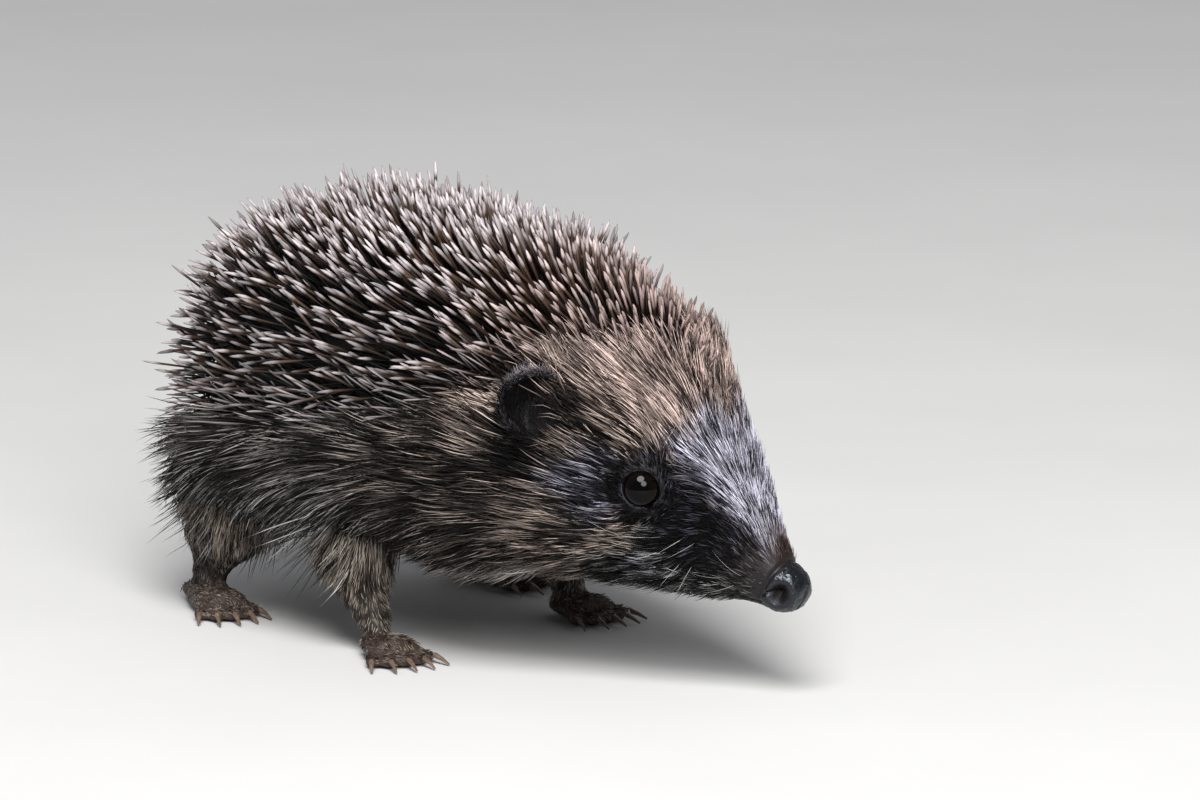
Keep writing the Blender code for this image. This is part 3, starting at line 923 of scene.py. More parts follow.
def strands(name, paths, radii, normals, colours, places, sides=3):
    """One mesh of closed tapering hairs. The last point of a path is the hair's sharp tip."""
    count, rings = len(paths), paths.shape[1] - 1
    tangents = unit(np.gradient(paths, axis=1))
    across = unit(np.cross(tangents, normals[:, None, :]))
    over = np.cross(tangents, across)
    turn = np.arange(sides) * 2 * math.pi / sides + math.pi / 2
    spoke = across[:, :rings, None] * np.cos(turn)[:, None]
    spoke = spoke + over[:, :rings, None] * np.sin(turn)[:, None]
    # The points of each hair: its rings from the root up, then the tip.
    shell = paths[:, :rings, None] + spoke * radii[:, :rings, None, None]
    points = np.concatenate([shell.reshape(count, rings * sides, 3), paths[:, rings:]], 1)
    each = rings * sides + 1
    # The faces of one hair: the walls between its rings, those round the tip, and the closed foot.
    # The marks are where their corners lie on the hair's patch of the map.
    faces, marks = [], []
    for ring in range(rings - 1):
        for side in range(sides):
            here, there, beyond = ring * sides, (side + 1) % sides, (ring + 1) * sides
            faces.append((here + side, here + there, beyond + there, beyond + side))
            marks.append(((side, ring), (side + 1, ring), (side + 1, ring + 1), (side, ring + 1)))
    last = (rings - 1) * sides
    for side in range(sides):
        faces.append((last + side, last + (side + 1) % sides, rings * sides))
        marks.append(((side, rings - 1), (side + 1, rings - 1), (side + 0.5, rings)))
    faces.append(tuple(range(sides - 1, -1, -1)))
    marks.append(tuple((side * 0.6, 0.3 * (side % 2)) for side in range(sides - 1, -1, -1)))
    corner = np.concatenate([np.array(face) for face in faces])
    mark = np.concatenate([np.array(face, float) for face in marks]) / (sides, rings)
    sizes = np.array([len(face) for face in faces])
    # The same faces for every hair.
    loops = (corner[None, :] + each * np.arange(count)[:, None]).ravel()
    starts = (np.cumsum(sizes) - sizes)[None, :] + len(corner) * np.arange(count)[:, None]
    mesh = bpy.data.meshes.new(name)
    mesh.vertices.add(count * each)
    mesh.vertices.foreach_set("co", points.astype(np.float32).ravel())
    mesh.loops.add(len(loops))
    mesh.loops.foreach_set("vertex_index", loops.astype(np.int32))
    mesh.polygons.add(starts.size)
    mesh.polygons.foreach_set("loop_start", starts.astype(np.int32).ravel())
    mesh.update(calc_edges=True)
    mesh.polygons.foreach_set("use_smooth", np.ones(starts.size, bool))
    low, high = places.min(0), places.max(0)
    places = (places - low) / (high - low) * (1 - PATCH)
    spots = places[:, None, :] + mark[None] * PATCH
    layer = mesh.uv_layers.new(name="OFBake")
    layer.uv.foreach_set("vector", spots.astype(np.float32).ravel())
    tones = np.concatenate([np.repeat(colours[:, :rings], sides, axis=1), colours[:, rings:]], 1)
    write_attribute(mesh, "coat_colour", tones.reshape(-1, 3))
    return new_object(name, mesh)


def places_on_limbs(roots):
    """An unwrap of the legs, ears and tail as seven tubes side by side, each cut along its back."""
    points, kind = roots["points"], roots["kind"]
    strip = 1 + (points[:, 1] > 0) + 2.0 * (roots["left"] > 0)
    strip = np.where(of_kind(kind, EAR), np.where(roots["left"] > 0, 5, 6), strip)
    strip = np.where(of_kind(kind, TAIL), 7, strip)
    places = np.empty((len(points), 2))
    for number in np.unique(strip):
        here = strip == number
        low, high = points[here].min(0), points[here].max(0)
        middle = (low + high) / 2
        round_limb = np.arctan2(points[here, 0] - middle[0], middle[1] - points[here, 1])
        places[here, 0] = (number - 0.5 + 0.46 * round_limb / math.pi) / 7
        places[here, 1] = (points[here, 2] - low[2]) / (high[2] - low[2])
    return places


def places_on_map(roots):
    """An unwrap of the body as a tube cut along the belly."""
    if roots["kind"].min() > 0.5:
        return places_on_limbs(roots)
    around = (roots["angle"] + 90) / 180
    across = 0.5 + np.sign(roots["left"]) * (1 - around) / 2
    return np.stack([across, roots["back"] / BODY_LENGTH], 1)


# Colours -----------------------------------------------------------------------------------


def linear(hex_code):
    """The linear value of an sRGB colour written as six hex digits."""
    shares = (int(hex_code[i : i + 2], 16) / 255 for i in (0, 2, 4))
    return np.array([s / 12.92 if s <= 0.04045 else ((s + 0.055) / 1.055) ** 2.4 for s in shares])


def tinted(tone, hex_code, share):
    """The colours drawn towards another one, by a share for each."""
    return tone + (linear(hex_code) - tone) * share[:, None]


def spot(back, angle, at, size, soft=0.35):
    """1 within a round place on the body and 0 outside it: behind the nose tip, degrees round."""
    away = np.hypot((back / MM - at[0]) / size[0], (angle - at[1]) / size[1])
    return 1 - ease(away, 1 - soft, 1 + soft)


def coat_zones(back, angle, kind):
    """Each kind of coat and how much of it there is here. A later one lies over those before it."""
    # Millimetres behind the nose tip and degrees round the body, from here on.
    behind = back / MM
    crown_foot = 24 + 0.05 * (90 - angle)
    mask_top = 31 + 4 * (1 - ease(behind, 23, 29))
    under_mask_top = 1 - ease(angle, mask_top, mask_top + 10)
    before_crown = 1 - ease(behind, crown_foot - 2, crown_foot + 4)
    on_ear = of_kind(kind, EAR)
    return (
        ("flank", 1 + 0 * behind),
        ("skirt", ease(behind, 56, 76) * (1 - ease(angle, -26, -8))),
        ("belly", ease(behind, 40, 60) * (1 - ease(angle, -72, -48))),
        ("neck", 1 - ease(behind, 58, 78)),
        ("throat", (1 - ease(behind, 50, 66)) * (1 - ease(angle, -68, -42))),
        ("cheek", (1 - ease(behind, 41, 47)) * ease(angle, -60, -36)),
        ("crown", ease(behind, crown_foot - 3, crown_foot + 4) * ease(angle, 26, 44)),
        ("temple", spot(back, angle, (34.5, 3), (5.5, 13))),
        ("muzzle", (1 - ease(behind, 22, 27)) * (1 - ease(angle, 2, 16))),
        ("muzzle", (1 - ease(behind, 28, 35)) * (1 - ease(angle, -34, -19))),
        ("temple", 0.6 * spot(back, angle, (22, -26), (3.6, 8))),
        ("temple", before_crown * ease(angle, mask_top - 1, mask_top + 8)),
        ("bridge", before_crown * ease(angle, mask_top + 3, mask_top + 24)),
        ("mask", (1 - ease(behind, 21, 26)) * ease(angle, -14, 4) * under_mask_top),
        ("mask", spot(back, angle, (25.9, 16), (5.9, 17), 0.25)),
        ("snout", 0.8 * (1 - ease(behind, 9, 13)) * (1 - ease(angle, 26, 46))),
        ("nose_root", (1 - ease(behind, 6.5, 12.0)) * ease(angle, 20, 55)),
        ("nape", spot(back, angle, (49.5, 28), (7.5, 20))),
        # Painted shade in the folds below and behind each ear, and just in front of it.
        ("shade_in_creases", spot(back, angle, (44.5, 6), (2.8, 13), 0.4)),
        ("shade_in_creases", 0.75 * spot(back, angle, (41.2, 25), (2.6, 10))),
        ("leg", of_kind(kind, LEG) | of_kind(kind, FOOT)),
        ("ear", on_ear),
        # Painted shade over the lower half of each ear.
        ("shade_in_creases", 0.8 * on_ear * (1 - ease(angle, 20, 36))),
        ("nose", 1 - ease(behind, 4.4, 5.4)),
    )


def markings(points, back, angle, kind):
    """The colours of the darkest and the palest hairs at each place, and how pale they are."""
    back = back + ripples(points, 3.5 * MM, 11) * 0.9 * MM
    angle = angle + ripples(points, 3.5 * MM, 12) * 3.5
    dark, pale = np.zeros((2, len(points), 3))
    paleness = np.zeros(len(points))
    for name, share in coat_zones(back, angle, kind):
        share = np.asarray(share, float)
        dark_hex, pale_hex, zone_paleness = COATS[name]
        dark = tinted(dark, dark_hex, share)
        pale = tinted(pale, pale_hex, share)
        paleness += (zone_paleness - paleness) * share
    return dark, pale, paleness


def lid_marks(points, node):
    """How much each corner is dark lid, paler rim low and behind the eye, and wet with tears."""
    middle, look, upward, forward = eye_axes(node)
    offset = points - middle
    height = offset @ look
    outside = height > 0
    radius = np.linalg.norm(offset - height[:, None] * look, axis=1)
    low_behind = ease(-offset @ (upward + forward * 0.8), -1.5 * MM, 1.5 * MM)
    rim = np.exp(-((((radius - LID_OPENING) / MM - 0.16) / 0.1) ** 2)) * low_behind
    lid = 1 - ease(radius, 3.6 * MM, 5.0 * MM)
    wet = 1 - ease(radius, 3.0 * MM, 3.3 * MM)
    return lid * outside, rim * outside, wet * outside


def colour_skin(skin, ground):
    """Gives the skin the coat's own markings, darkened as painted shade seen between the hairs and
    spines, and paler or darker where it is bare.
    """
    points, back, angle, kind = (ground[name] for name in ("points", "back", "angle", "kind"))
    dark, pale, _ = markings(points, back, angle, kind)
    # The darkest hairs' colour, darker still: painted shade that shows between the hairs, and near
    # black under the spines.
    spined = ease(above_spine_line(back, angle), -6, 10) * of_kind(kind, BODY)
    tone = tinted(dark * 0.75 + pale * 0.03, SHADED_HIDE_UNDER_SPINES, spined)
    wet = np.zeros(len(points))
    for node in EYES:
        lid, rim, film = lid_marks(points, node)
        tone = tinted(tinted(tone, LID, lid), LID_RIM, rim)
        wet = np.maximum(wet, film)
    # Painted shade: the hollow of each ear is near black.
    reach, height, _ = nearest_ear(points)
    hollow = (1 - ease(reach, 0.82, 0.98)) * (np.abs(height) < 8 * MM)
    tone = tinted(tone, EAR_HOLLOW_SHADE, hollow)
    tone = tinted(tone, FOOT_HIDE, of_kind(kind, FOOT))
    # Painted shade: the nostrils' pits are near black over their dark red-brown.
    nostril = np.clip(1.6 * nostril_share(back, ground["left"], ground["up"]), 0, 1)
    tone = tinted(tone, NOSTRIL_SHADED, nostril)
    write_attribute(skin.data, "coat_colour", tone)
    write_attribute(skin.data, "wet", np.where(back < 6 * MM, 1 - nostril, wet))


# Coat --------------------------------------------------------------------------------------

# The fur is made in pieces, which meet at these distances behind the nose tip.
FACE_END, NECK_END, FORELIMBS_END = 30.5 * MM, 66 * MM, 85 * MM
LOCK = 7  # hairs to a lock

# In millimetres behind the nose tip: the hairs' length, their radius, hairs to the square mm.
FUR_TABLE = np.array(
    (
        (5.2, 1.3, 0.045, 16),
        (9, 2.4, 0.050, 15),
        (14, 2.8, 0.052, 11),
        (20, 3.6, 0.055, 10),
        (27, 4.8, 0.066, 8.0),
        (33, 6.8, 0.076, 6.4),
        (40, 9.2, 0.086, 4.8),
        (50, 11.0, 0.092, 4.1),
        (70, 13.0, 0.098, 3.4),
        (136, 13.5, 0.104, 4.0),
    )
)


def fur_density(ground):
    """Hairs to the square millimetre at each corner of the skin."""
    back, angle, kind = ground["back"], ground["angle"], ground["kind"]
    density = table_at(FUR_TABLE, back, 3)
    forehead = 1 - ease(back, 36 * MM, 50 * MM)
    nape = spot(back, angle, (50, 28), (8, 16))
    density = density * (1 - ease(above_spine_line(back, angle), -6, 5 + 30 * forehead + 16 * nape))
    density = density * (1 - 0.62 * ease(-angle, 50, 78))
    eye, _ = from_eyes(ground["points"])
    density = density * (1 + 0.5 * (1 - ease(eye, 4 * MM, 7 * MM)))
    density = density * ease(eye, 3.05 * MM, 3.4 * MM) * ease(back, 4.9 * MM, 6.5 * MM)
    reach, height, _ = nearest_ear(ground["points"])
    hollow = in_hollow(reach, height)
    body = of_kind(kind, BODY)
    density = np.where(body, density * (1 - hollow), 0)
    density = np.where(of_kind(kind, LEG), 5.0, density)
    density = np.where(of_kind(kind, FOOT), 6.0 * ease(ground["normals"][:, 2], -0.2, 0.2), density)
    density = np.where(of_kind(kind, EAR), 22.0 * (1 - 0.3 * hollow), density)
    return np.where(of_kind(kind, TAIL), 3.0, density)


def throat_share(back, angle):
    """1 on the throat, between the chin and the chest, and 0 elsewhere."""
    return ease(back, 22 * MM, 32 * MM) * (1 - ease(back, 50 * MM, 62 * MM)) * ease(-angle, 35, 60)


def fur_size(roots):
    """Length and radius of each hair."""
    back, angle, kind = roots["back"], roots["angle"], roots["kind"]
    length = table_at(FUR_TABLE, back, 1)
    radius = table_at(FUR_TABLE, back, 2)
    over = above_spine_line(back, angle)
    length = length * (1 + 0.25 * ease(angle, 25, 45) * (1 + 0.6 * ease(back, 24 * MM, 34 * MM)))
    length = length * (1 - 0.38 * ease(over, -16, 2) * (1 - ease(back, 50 * MM, 70 * MM)))
    length = length * (1 - 0.3 * spot(back, angle, (25, 14), (8, 22)))
    fringe = ease(back, 50 * MM, 70 * MM) * (1 - ease(angle, -12, 4))
    length = length * (1 + 0.15 * fringe * (1 - ease(-angle, 60, 85)))
    length = length * (1 - 0.25 * ease(-angle, 55, 80))
    length = length * (1 - 0.45 * ease(back, 104 * MM, 126 * MM))
    chin = ease(-angle, 25, 45) * ease(back, 6 * MM, 10 * MM) * (1 - ease(back, 24 * MM, 32 * MM))
    length = length * (1 + 0.45 * throat_share(back, angle) + 0.3 * chin)
    eye, _ = from_eyes(roots["points"])
    length = length * (0.4 + 0.6 * ease(eye, 3.4 * MM, 9 * MM))
    reach, _, behind = nearest_ear(roots["points"])
    over_ear = ease(angle, 4, 18) * (1 - ease(reach, 1.0, 2.1)) * (1 - ease(behind, -0.1, 0.7))
    length = length * (1 - 0.72 * over_ear)
    height = roots["points"][:, 2]
    length = np.where(of_kind(kind, LEG), 1.5 + 4.4 * ease(height, 7 * MM, 20 * MM), length)
    length = np.where(of_kind(kind, FOOT), 1.1, length)
    length = np.where(of_kind(kind, EAR), 1.0 + 1.0 * ease(reach, 0.75, 1.0), length)
    length = np.where(of_kind(kind, TAIL), 3.0, length)
    radius = np.where(kind > 0.5, 0.06, radius)
    radius = np.where(of_kind(kind, EAR), 0.034, radius)
    return length * MM, radius * MM


def fur_lift(roots, length):
    """The mean angle that lifts each hair's tip as far off the skin as the coat is deep."""
    back, angle, kind = roots["back"], roots["angle"], roots["kind"]
    bridge = ease(back, 8 * MM, 16 * MM) * (1 - ease(back, 28 * MM, 36 * MM)) * ease(angle, 30, 60)
    jaw = ease(back, 7 * MM, 14 * MM) * (1 - ease(back, 34 * MM, 46 * MM))
    jaw = jaw * (1 - ease(angle, -45, -20))
    fuller = 0.5 * bridge + 2.1 * jaw + 1.5 * throat_share(back, angle)
    wanted = coat_depth(back, angle) + fuller * MM
    wanted = np.where(kind > 0.5, 0.4 * length, wanted)
    return np.arcsin(np.clip(wanted / length, 0.14, 0.52))


def fur_paths(roots, length, rings, rng):
    """The hairs' lines, each a little astray from its neighbours'."""
    back, count = roots["back"], len(length)
    ways = lie_of(roots)
    aside = np.cross(roots["normals"], ways)
    stray = 0.18 * ripples(roots["points"], 5 * MM, 21) + rng.normal(0, 0.13, count)
    ways = unit(ways + aside * stray[:, None])
    mean_lift = fur_lift(roots, length)
    lift = 1.4 * mean_lift + rng.normal(0, 0.10, count)
    tip_lift = 0.6 * mean_lift + rng.normal(0, 0.10, count)
    # Over the rump the tips turn in, because the skin falls away under them.
    tip_lift = tip_lift - np.radians(42) * ease(back, 98 * MM, 122 * MM)
    bend = rng.normal(0, 0.11, count) + 0.1 * ripples(roots["points"], 3 * MM, 23)
    return grown(roots, ways, length, lift, tip_lift, bend, rings)


def fur_colours(roots, length, locks, along, rng):
    """The colour of each hair at each ring: darkened towards the root as painted shade deep in the
    coat, and alike within a lock.
    """
    back = roots["back"] + 0.5 * length
    dark, pale, paleness = markings(roots["points"], back, roots["angle"], roots["kind"])
    paleness = np.clip(paleness * (1 + 0.35 * ripples(roots["points"], 2.2 * MM, 22)), 0.05, 0.95)
    # Hairs in an ear's hollow are darker: painted shade inside its cup.
    reach, height, _ = nearest_ear(roots["points"])
    paleness = paleness * (1 - 0.85 * in_hollow(reach, height))
    own = rng.random(len(length))
    own = np.where(rng.random(len(length)) < 0.55, own[locks], own)
    brightness = 1.1 * own ** (1.35 * (1 - paleness) / paleness)
    # Painted shade: each hair darker towards its root, deep in the coat.
    shade = brightness[:, None] * (0.3 + 0.7 * ease(along, 0.05, 0.5))[None]
    return dark[:, None] + (pale - dark)[:, None] * shade[:, :, None]


def make_fur(ground, name, chosen, seed, rings=4):
    """One piece of the fur, on the part of the skin where chosen says so."""
    rng = np.random.default_rng(seed)
    roots = scatter(ground, fur_density(ground) * chosen, rng)
    length, radius = fur_size(roots)
    length = length * rng.normal(1, 0.16, len(length)).clip(0.5, 1.4)
    paths = fur_paths(roots, length, rings, rng)
    locks = nearest_leaders(paths[:, 0], LOCK, rng)
    drawn = 0.34 * ease(roots["back"], 10 * MM, 36 * MM) + 0.08
    paths = gathered(paths, locks, drawn * ~of_kind(roots["kind"], EAR))
    along = np.linspace(0, 1, rings + 1)
    colours = fur_colours(roots, length, locks, along, rng)
    profile = np.interp(along, (0, 0.3, 0.75, 1), (0.9, 1.0, 0.72, 0))
    radii = radius[:, None] * profile * rng.uniform(0.8, 1.25, (len(length), 1))
    return strands(name, paths, radii, roots["normals"], colours, places_on_map(roots))


def make_whiskers(ground):
    """Sparse long hairs on the lips and over the eyes."""
    rng, rings = np.random.default_rng(61), 6
    back, angle = ground["back"], ground["angle"]
    lips = spot(back, angle, (18, -22), (12, 28)) * 0.11
    brows = spot(back, angle, (27, 37), (3.5, 6)) * 0.16
    roots = scatter(ground, (lips + brows) * of_kind(ground["kind"], BODY), rng)
    count = len(roots["points"])
    brow = roots["angle"] > 20
    ways = lie_of(roots)
    aside = np.cross(roots["normals"], ways)
    ways = unit(ways + aside * rng.normal(0, 0.5, count)[:, None])
    length = np.where(brow, rng.uniform(4, 7, count), rng.uniform(3.5, 8.5, count)) * MM
    lift = np.radians(rng.uniform(28, 55, count))
    paths = grown(roots, ways, length, lift, lift - 0.5, rng.normal(0, 0.15, count), rings)
    profile = np.linspace(1, 0, rings + 1) ** 0.6
    radii = np.where(brow, 0.034, 0.038)[:, None] * MM * profile
    pale = linear("cfccc8") * rng.uniform(0.35, 1, (count, 1, 1))
    colours = np.broadcast_to(pale, (count, rings + 1, 3))
    return strands("whiskers", paths, radii, roots["normals"], colours, places_on_map(roots))


def make_all_fur(ground):
    """All of the fur, in pieces that each stay under 200,000 triangles."""
    back, left, kind = ground["back"], ground["left"], ground["kind"]
    body = of_kind(kind, BODY)
    face, neck = back < FACE_END, (back >= FACE_END) & (back < NECK_END)
    ear = of_kind(kind, EAR)
    pieces = []
    for side, here in (("left", left > 0), ("right", left <= 0)):
        pieces.append(make_fur(ground, "fur_face_" + side, body & face & here, 31))
        pieces.append(make_fur(ground, "fur_neck_" + side, body & neck & here, 32))
        pieces.append(make_fur(ground, "fur_flank_" + side, body & (back >= NECK_END) & here, 33))
    pieces.append(make_fur(ground, "fur_ears", ear, 35, 3))
    limbs = ~body & ~ear
    pieces.append(make_fur(ground, "fur_forelimbs", limbs & (back < FORELIMBS_END), 34, 3))
    pieces.append(make_fur(ground, "fur_hindlimbs", limbs & (back >= FORELIMBS_END), 34, 3))
    pieces.append(make_whiskers(ground))
    return pieces


# Along each spine from its root: where its rings are, and how wide it is there.
SPINE_RINGS = np.array((0, 0.5, 0.77, 0.86, 0.94, 1.0))
SPINE_PROFILE = np.array((0.5, 0.78, 0.86, 1.0, 0.68, 0))
SPINE_RADIUS = 0.29 * MM
# Of a spine, sRGB: its root, kept near black as painted shade deep in the coat; the dark band,
# darkened past its own brown by painted shade; the same at the front; the edge of the tip; the tip.
SPINE_ROOT_SHADE, SHADED_SPINE_BAND, FRONT_BAND, SPINE_DUSK = "150f0d", "050303", "2c1f19", "6e5646"
SPINE_TIP, FRONT_TIP = "bcb2b3", "c2a8a1"


def spine_roots(ground, chosen, rng):
    """Where the spines stand, each clear of its neighbours, and how full-grown each is."""
    over = above_spine_line(ground["back"], ground["angle"])
    density = 3.4 * ease(over, -3, 4) * of_kind(ground["kind"], BODY)
    roots = scatter(ground, density * chosen, rng)
    back, angle = roots["back"], roots["angle"]
    full = ease(above_spine_line(back, angle), -2, 16)
    full = full * (0.55 + 0.45 * ease(back, 34 * MM, 50 * MM))
    roots["full"] = full
    flank = ease(back, 50 * MM, 66 * MM) * (1 - ease(angle, 30, 60))
    closer = 0.08 * ease(angle, 45, 75) + 0.1 * ease(back, 92 * MM, 108 * MM)
    return spaced_out(roots, (0.82 + 0.40 * full) * (1 + 0.14 * flank - closer) * MM)


def spine_paths(roots, rng):
    """The spines' lines, which lie back over each other and stand up more towards the top."""
    back, angle, count = roots["back"], roots["angle"], len(roots["back"])
    ways = along_skin(-forward_at(back), roots["normals"])
    aside = np.cross(roots["normals"], ways)
    stray = rng.normal(0, 0.30, count) + 0.2 * ripples(roots["points"], 7 * MM, 41)
    ways = unit(ways + aside * stray[:, None])
    lean = 30 + 34 * (1 - ease(angle, 8, 66)) + 8 * ease(back, 100 * MM, 130 * MM)
    lean = lean - 4 * (1 - ease(back, 42 * MM, 60 * MM))
    lift = np.radians(90 - lean) + rng.normal(0, 0.17, count)
    length = 7.5 + 5.5 * ease(back, 34 * MM, 56 * MM) - 1.9 * ease(angle, 45, 75)
    length = length * (0.85 + 0.15 * roots["full"])
    length = length * rng.normal(1, 0.09, count) * MM
    rings = len(SPINE_RINGS) - 1
    paths = grown(roots, ways, length, lift, lift - 0.12, rng.normal(0, 0.05, count), rings)
    # The even rings are moved to where a spine changes, and most of its bow is kept.
    start, run = paths[:, :1], paths[:, -1:] - paths[:, :1]
    bow = paths - start - run * np.linspace(0, 1, rings + 1)[None, :, None]
    return start + run * SPINE_RINGS[None, :, None] + bow * 0.8


def spine_colours(roots, rng):
    """The colour of each ring: a root darkened as painted shade, a dark band and a pale tip, both
    browner and duller at the front, with the tips paler towards the top as painted light.
    """
    back, angle, full = roots["back"], roots["angle"], roots["full"]
    count, high = len(back), ease(angle, 45, 75)
    front = (1 - ease(back, 36 * MM, 56 * MM))[:, None, None]
    tip = linear(SPINE_TIP) + (linear(FRONT_TIP) - linear(SPINE_TIP)) * front
    brown = np.clip(front + 0.7 * high[:, None, None], 0, 1)
    band = linear(SHADED_SPINE_BAND) + (linear(FRONT_BAND) - linear(SHADED_SPINE_BAND)) * brown
    tip_starts = rng.normal(0.83, 0.022, (count, 1)) - 0.15 * (1 - full[:, None])
    tip_starts = tip_starts - 0.03 * high[:, None]
    past = (SPINE_RINGS[None] - tip_starts) / 0.06
    pale = ease(past, -0.5, 0.5)
    edge = ease(past, -1.6, -0.2) * (1 - pale)
    # Painted shade: the lower part of each spine is darkened towards the root.
    low = 1 - ease(SPINE_RINGS, 0.25, 0.45)
    rear = ease(back, 92 * MM, 108 * MM) * (1 - ease(angle, 30, 62))
    # Painted light from above: the tips are paler towards the top of the back; they also vary at
    # random and are a little paler low on the rump.
    tone = (0.4 + 0.85 * rng.random(count)) * (0.47 + 0.14 * rear + 0.5 * ease(angle, 0, 62))
    tone = tone[:, None, None] * (1 - 0.36 * front)
    colours = band + (linear(SPINE_ROOT_SHADE) - band) * low[None, :, None]
    colours = colours + (linear(SPINE_DUSK) - colours) * 0.5 * edge[:, :, None]
    return colours + (tip * tone - colours) * pale[:, :, None]


def make_spines(ground, name, chosen, seed):
    """The spines on the part of the skin where chosen says so."""
    rng = np.random.default_rng(seed)
    roots = spine_roots(ground, chosen, rng)
    paths = spine_paths(roots, rng)
    size = (0.45 + 0.55 * roots["full"][:, None]) * rng.normal(1, 0.08, (len(paths), 1))
    radii = SPINE_RADIUS * SPINE_PROFILE * size
    colours = spine_colours(roots, rng)
    return strands(name, paths, radii, roots["normals"], colours, places_on_map(roots), 6)


# Materials ---------------------------------------------------------------------------------


def add_node(tree, kind, settings=(), **inputs):
    """A node with its settings, and with its sockets set to values or linked from others.

    A socket goes by its name, with _ for a space, or by its number, as in _0.
    """
    node = tree.nodes.new(kind)
    for name, value in dict(settings).items():
        setattr(node, name, value)
    for name, value in inputs.items():
        place = int(name[1:]) if name[1:].isdigit() else name.replace("_", " ")
        socket = node.inputs[place]
        if isinstance(value, bpy.types.NodeSocket):
            tree.links.new(value, socket)
        else:
            socket.default_value = value
    return node


def new_material(name):
    material = bpy.data.materials.new(name)
    material.use_nodes = True
    tree = material.node_tree
    return material, tree, tree.nodes["Principled BSDF"]


def mottled(tree, colour, size, low, high):
    """The colour made darker and lighter from place to place, the noise that did it, the place."""
    place = add_node(tree, "ShaderNodeTexCoord").outputs["Object"]
    noise = add_node(
        tree, "ShaderNodeTexNoise", Vector=place, Scale=1 / size, Detail=3, Roughness=0.6
    )
    amount = add_node(
        tree, "ShaderNodeMapRange", Value=noise.outputs[0], _1=0.3, _2=0.7, _3=low, _4=high
    )
    tone = add_node(
        tree, "ShaderNodeVectorMath", {"operation": "SCALE"}, Vector=colour, Scale=amount.outputs[0]
    )
    return tone.outputs[0], noise.outputs[0], place


def finish(tree, shader, colour, rough, height, depth):
    """Links a colour, a roughness between two values from a noise, and a bump this deep."""
    tree.links.new(colour, shader.inputs["Base Color"])
    source, low, high = rough
    level = add_node(tree, "ShaderNodeMapRange", Value=source, _1=0.3, _2=0.7, _3=low, _4=high)
    tree.links.new(level.outputs[0], shader.inputs["Roughness"])
    bump = add_node(tree, "ShaderNodeBump", Strength=0.7, Distance=depth, Height=height)
    tree.links.new(bump.outputs[0], shader.inputs["Normal"])


def hair_keratin():
    """Guard hair and underfur, dry keratin: nearly matt, with a faint gloss along each strand."""
    material, tree, shader = new_material("hair_keratin")
    own = add_node(tree, "ShaderNodeAttribute", {"attribute_name": "coat_colour"})
    tone, noise, place = mottled(tree, own.outputs["Color"], 1.2 * MM, 0.82, 1.2)
    # The cuticle's scales are far too fine to see, so they are drawn a tenth of a millimetre long.
    scales = add_node(tree, "ShaderNodeTexNoise", Vector=place, Scale=1 / (0.1 * MM), Detail=1)
    finish(tree, shader, tone, (noise, 0.5, 0.68), scales.outputs[0], 0.01 * MM)
    shader.inputs["IOR"].default_value = 1.55
    shader.inputs["Specular IOR Level"].default_value = 0.09
    return material


def spine_keratin():
    """Spines, hard hollow keratin: smooth and slightly glossy, duller where they are scuffed."""
    material, tree, shader = new_material("spine_keratin")
    own = add_node(tree, "ShaderNodeAttribute", {"attribute_name": "coat_colour"})
    tone, noise, place = mottled(tree, own.outputs["Color"], 0.9 * MM, 0.85, 1.15)
    grooves = add_node(tree, "ShaderNodeTexNoise", Vector=place, Scale=1 / (0.16 * MM), Detail=2)
    finish(tree, shader, tone, (noise, 0.38, 0.56), grooves.outputs[0], 0.02 * MM)
    shader.inputs["IOR"].default_value = 1.55
    shader.inputs["Specular IOR Level"].default_value = 0.12
    return material


def bare_hide():
    """Living skin under the hair, on the lids, in the ears and on the feet, finely creased."""
    material, tree, shader = new_material("bare_hide")
    own = add_node(tree, "ShaderNodeAttribute", {"attribute_name": "coat_colour"})
    tone, noise, place = mottled(tree, own.outputs["Color"], 0.7 * MM, 0.75, 1.3)
    # Cells of a quarter of a millimetre: the small plates between the skin's creases.
    to_edge = {"feature": "DISTANCE_TO_EDGE"}
    plates = add_node(tree, "ShaderNodeTexVoronoi", to_edge, Vector=place, Scale=1 / (0.28 * MM))
    wet = add_node(tree, "ShaderNodeAttribute", {"attribute_name": "wet"})
    times_plus = {"operation": "MULTIPLY_ADD"}
    dry = add_node(tree, "ShaderNodeMath", times_plus, _0=wet.outputs["Fac"], _1=-0.5, _2=noise)
    finish(tree, shader, tone, (dry.outputs[0], 0.5, 0.72), plates.outputs["Distance"], 0.04 * MM)
    shader.inputs["Specular IOR Level"].default_value = 0.3
    return material


def wet_nose_leather():
    """Wet nose leather: nearly black, pebbled, with small broken glints of the light overhead."""
    material, tree, shader = new_material("wet_nose_leather")
    own = add_node(tree, "ShaderNodeAttribute", {"attribute_name": "coat_colour"})
    tone, noise, place = mottled(tree, own.outputs["Color"], 0.5 * MM, 0.7, 1.4)
    # Pebbles of under half a millimetre, with their middles raised.
    rounded, size = {"feature": "SMOOTH_F1"}, 0.4 * MM
    pebbles = add_node(
        tree, "ShaderNodeTexVoronoi", rounded, Vector=place, Scale=1 / size, Smoothness=0.3
    )
    from_middle = pebbles.outputs["Distance"]
    sunk = add_node(tree, "ShaderNodeMath", {"operation": "MULTIPLY"}, _0=from_middle, _1=-1.0)
    wet = add_node(tree, "ShaderNodeAttribute", {"attribute_name": "wet"})
    times_plus = {"operation": "MULTIPLY_ADD"}
    dry = add_node(tree, "ShaderNodeMath", times_plus, _0=wet.outputs["Fac"], _1=-0.6, _2=0.75)
    rough = add_node(tree, "ShaderNodeMath", times_plus, _0=noise, _1=0.5, _2=dry.outputs[0])
    finish(tree, shader, tone, (rough.outputs[0], 0.2, 0.62), sunk.outputs[0], 0.06 * MM)
    shader.inputs["Specular IOR Level"].default_value = 0.58
    shader.inputs["Specular Tint"].default_value = (0.8, 0.87, 1.0, 1)
    return material


